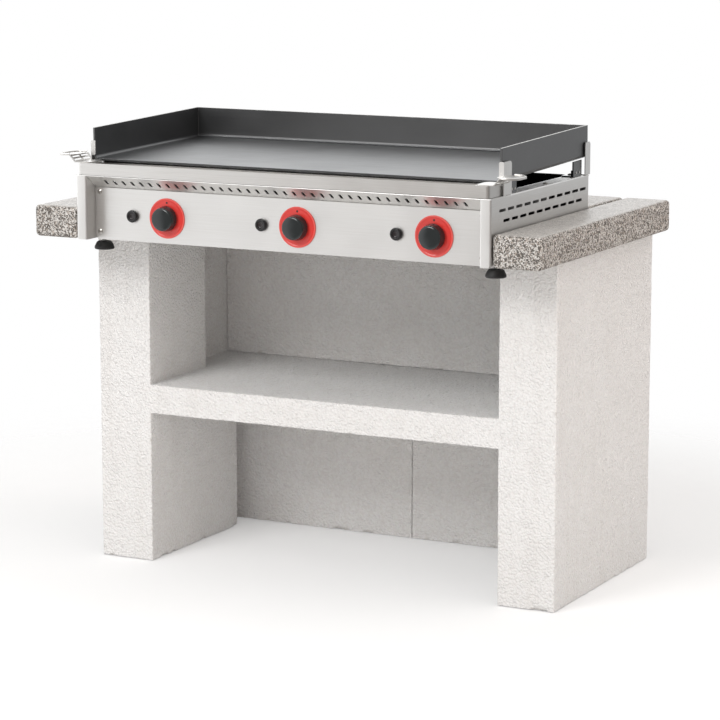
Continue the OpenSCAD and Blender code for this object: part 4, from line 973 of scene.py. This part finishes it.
class GRIDDLE_OT_stage(bpy.types.Operator):
    """Make the pale floor, the soft light all round, the key lamp and the camera"""

    bl_idname = "griddle.stage"
    bl_label = "Floor, light and camera"

    def floor(self, look):
        """The floor: flat paper that fades out into the white round it.

        A share of white is added where the camera or a mirror sees it.
        """
        t = np.linspace(-FLOOR_HALF, FLOOR_HALF, 9)
        y, x = np.meshgrid(t, t, indexing="ij")
        points = np.stack([x, y, 0 * x - FLOOR_DROP], -1).reshape(-1, 3)
        material, tree, spot = blank("matt_paper_floor")
        fibre = add(tree, "ShaderNodeTexNoise", {"Vector": spot, "Scale": per(400), "Detail": 2.0})
        tone = add(tree, "ShaderNodeMixRGB", {"Fac": fibre.outputs["Fac"],
                                              "Color1": rgba(look.paper),
                                              "Color2": rgba("#e4e4e4")})
        cloth = add(tree, "ShaderNodeBsdfDiffuse", {"Color": tone.outputs[0]})
        seen = add(tree, "ShaderNodeLightPath")
        either = add(tree, "ShaderNodeMath", {0: seen.outputs["Is Camera Ray"],
                                              1: seen.outputs["Is Glossy Ray"]},
                     operation="ADD")
        lift = add(tree, "ShaderNodeMath", {0: either.outputs[0], 1: FLOOR_LIFT},
                   operation="MULTIPLY")
        glow = add(tree, "ShaderNodeEmission", {"Strength": lift.outputs[0]})
        both = add(tree, "ShaderNodeAddShader", {0: cloth.outputs[0], 1: glow.outputs[0]})
        away = add(tree, "ShaderNodeVectorMath", {0: spot}, operation="LENGTH")
        fade = add(tree, "ShaderNodeMapRange",
                   {"Value": away.outputs["Value"], "From Min": FLOOR_FADE[0],
                    "From Max": FLOOR_FADE[1]},
                   interpolation_type="SMOOTHSTEP")
        clear = add(tree, "ShaderNodeBsdfTransparent")
        paper = add(tree, "ShaderNodeMixShader", {0: fade.outputs[0], 1: both.outputs[0],
                                                  2: clear.outputs[0]})
        add(tree, "ShaderNodeOutputMaterial", {"Surface": paper.outputs[0]})
        mesh = bpy.data.meshes.new("floor")
        mesh.from_pydata(points.tolist(), [], quads(9, 9, wrap=False).tolist())
        mesh.materials.append(material)
        floor = bpy.data.objects.new("floor", mesh)
        bpy.context.scene.collection.objects.link(floor)

    def world(self, look):
        """Light from above, the front and the right: the sum of tone times max(0, cosine)^3.

        What is glossy sees it even and white instead, with a brighter backdrop behind and a
        small lamp high on the left, but dim behind on the right and warm grey in front on the
        right, where a studio is open. The camera sees plain white.
        """
        world = bpy.data.worlds.new("soft_studio")
        world.use_nodes = True
        tree = world.node_tree
        tree.nodes.clear()
        way = add(tree, "ShaderNodeTexCoord").outputs["Generated"]
        soft = (0, 0, 0)
        for toward, level, tone in (((0, 0, 1), look.above, (1.0, 0.985, 0.97)),
                                    ((0, -1, 0), look.front, (1.0, 1.0, 1.0)),
                                    ((1, 0, 0), look.right, (1.0, 0.93, 0.89))):
            cosine = add(tree, "ShaderNodeVectorMath", {0: way, 1: toward},
                         operation="DOT_PRODUCT")
            ahead = add(tree, "ShaderNodeMath", {0: cosine.outputs["Value"], 1: 0.0},
                        operation="MAXIMUM")
            lobe = add(tree, "ShaderNodeMath", {0: ahead.outputs[0], 1: 3.0}, operation="POWER")
            soft = add(tree, "ShaderNodeVectorMath",
                       {0: lobe.outputs[0], 1: [level * part for part in tone], 2: soft},
                       operation="MULTIPLY_ADD").outputs[0]
        share = {}
        for name, (toward, start, end, at_start, at_end) in GLOSSY.items():
            cosine = add(tree, "ShaderNodeVectorMath", {0: way, 1: toward},
                         operation="DOT_PRODUCT")
            share[name] = add(tree, "ShaderNodeMapRange",
                              {"Value": cosine.outputs["Value"], "From Min": start,
                               "From Max": end, "To Min": at_start,
                               "To Max": at_end}).outputs[0]
        tint = add(tree, "ShaderNodeMixRGB", {"Fac": share["open_side"],
                                              "Color1": rgba(STUDIO_WHITE),
                                              "Color2": rgba(OPEN_GREY)})
        strong = add(tree, "ShaderNodeMath", {0: share["behind"], 1: share["backdrop"]},
                     operation="MULTIPLY")
        total = add(tree, "ShaderNodeMath", {0: strong.outputs[0], 1: share["lamp"]},
                    operation="ADD")
        shine = add(tree, "ShaderNodeMixRGB", {"Fac": 1.0, "Color1": tint.outputs[0],
                                               "Color2": total.outputs[0]},
                    blend_type="MULTIPLY")
        seen = add(tree, "ShaderNodeLightPath")
        level = add(tree, "ShaderNodeMixRGB", {"Fac": seen.outputs["Is Glossy Ray"],
                                               "Color1": soft, "Color2": shine.outputs[0]})
        level = add(tree, "ShaderNodeMixRGB", {"Fac": seen.outputs["Is Camera Ray"],
                                               "Color1": level.outputs[0],
                                               "Color2": (1, 1, 1, 1)})
        sky = add(tree, "ShaderNodeBackground", {"Color": level.outputs[0], "Strength": 1.0})
        add(tree, "ShaderNodeOutputWorld", {"Surface": sky.outputs[0]})
        bpy.context.scene.world = world

    def execute(self, context):
        look = context.scene.griddle_stage
        self.floor(look)
        self.world(look)
        lamp = bpy.data.lights.new("key_lamp", "AREA")
        lamp.shape, lamp.size, lamp.energy = "SQUARE", KEY_SIZE, look.key
        key = bpy.data.objects.new("key_lamp", lamp)
        key.location = KEY_AT
        key.rotation_euler = (math.radians(KEY_TILT), 0, math.radians(KEY_TURN))
        lens = bpy.data.cameras.new("camera")
        lens.lens, lens.sensor_width = look.lens, 36
        lens.clip_start, lens.clip_end = 0.1, 100
        camera = bpy.data.objects.new("camera", lens)
        camera.location = CAMERA_AT
        camera.rotation_euler = (math.pi / 2 - CAMERA_DOWN, 0, CAMERA_TURN)
        for thing in (key, camera):
            context.scene.collection.objects.link(thing)
        context.scene.camera = camera
        context.scene.view_settings.view_transform = "Standard"
        return {"FINISHED"}


# The add-on's own parts

GROUPS = {
    "griddle_stand": GriddleStandLook,
    "griddle_worktops": GriddleWorktopLook,
    "griddle_plate": GriddlePlateLook,
    "griddle_steel": GriddleSteelLook,
    "griddle_controls": GriddleControlLook,
    "griddle_stage": GriddleStageLook,
}
OPERATORS = (
    GRIDDLE_OT_stand,
    GRIDDLE_OT_worktops,
    GRIDDLE_OT_plate,
    GRIDDLE_OT_cabinet,
    GRIDDLE_OT_bezels,
    GRIDDLE_OT_knobs,
    GRIDDLE_OT_igniters,
    GRIDDLE_OT_feet,
    GRIDDLE_OT_inner_parts,
    GRIDDLE_OT_stage,
)


class GRIDDLE_PT_pieces(bpy.types.Panel):
    """Lists the looks and the pieces of the griddle"""

    bl_idname = "GRIDDLE_PT_pieces"
    bl_label = "Gas griddle"
    bl_space_type = "VIEW_3D"
    bl_region_type = "UI"
    bl_category = "Griddle"

    def draw(self, context):
        for name, group in GROUPS.items():
            column = self.layout.column(heading=name.replace("_", " "))
            for prop in group.__annotations__:
                column.prop(getattr(context.scene, name), prop)
        for operator in OPERATORS:
            self.layout.operator(operator.bl_idname)


CLASSES = (*GROUPS.values(), *OPERATORS, GRIDDLE_PT_pieces)


def register():
    for part in CLASSES:
        bpy.utils.register_class(part)
    for name, group in GROUPS.items():
        setattr(bpy.types.Scene, name, PointerProperty(type=group))


def unregister():
    for name in GROUPS:
        delattr(bpy.types.Scene, name)
    for part in reversed(CLASSES):
        bpy.utils.unregister_class(part)


def main():
    """Builds every piece in order."""
    register()
    bpy.ops.griddle.stand()
    bpy.ops.griddle.worktops()
    bpy.ops.griddle.plate()
    bpy.ops.griddle.cabinet()
    bpy.ops.griddle.bezels()
    bpy.ops.griddle.knobs()
    bpy.ops.griddle.igniters()
    bpy.ops.griddle.feet()
    bpy.ops.griddle.inner_parts()
    bpy.ops.griddle.stage()


if __name__ == "__main__":
    main()
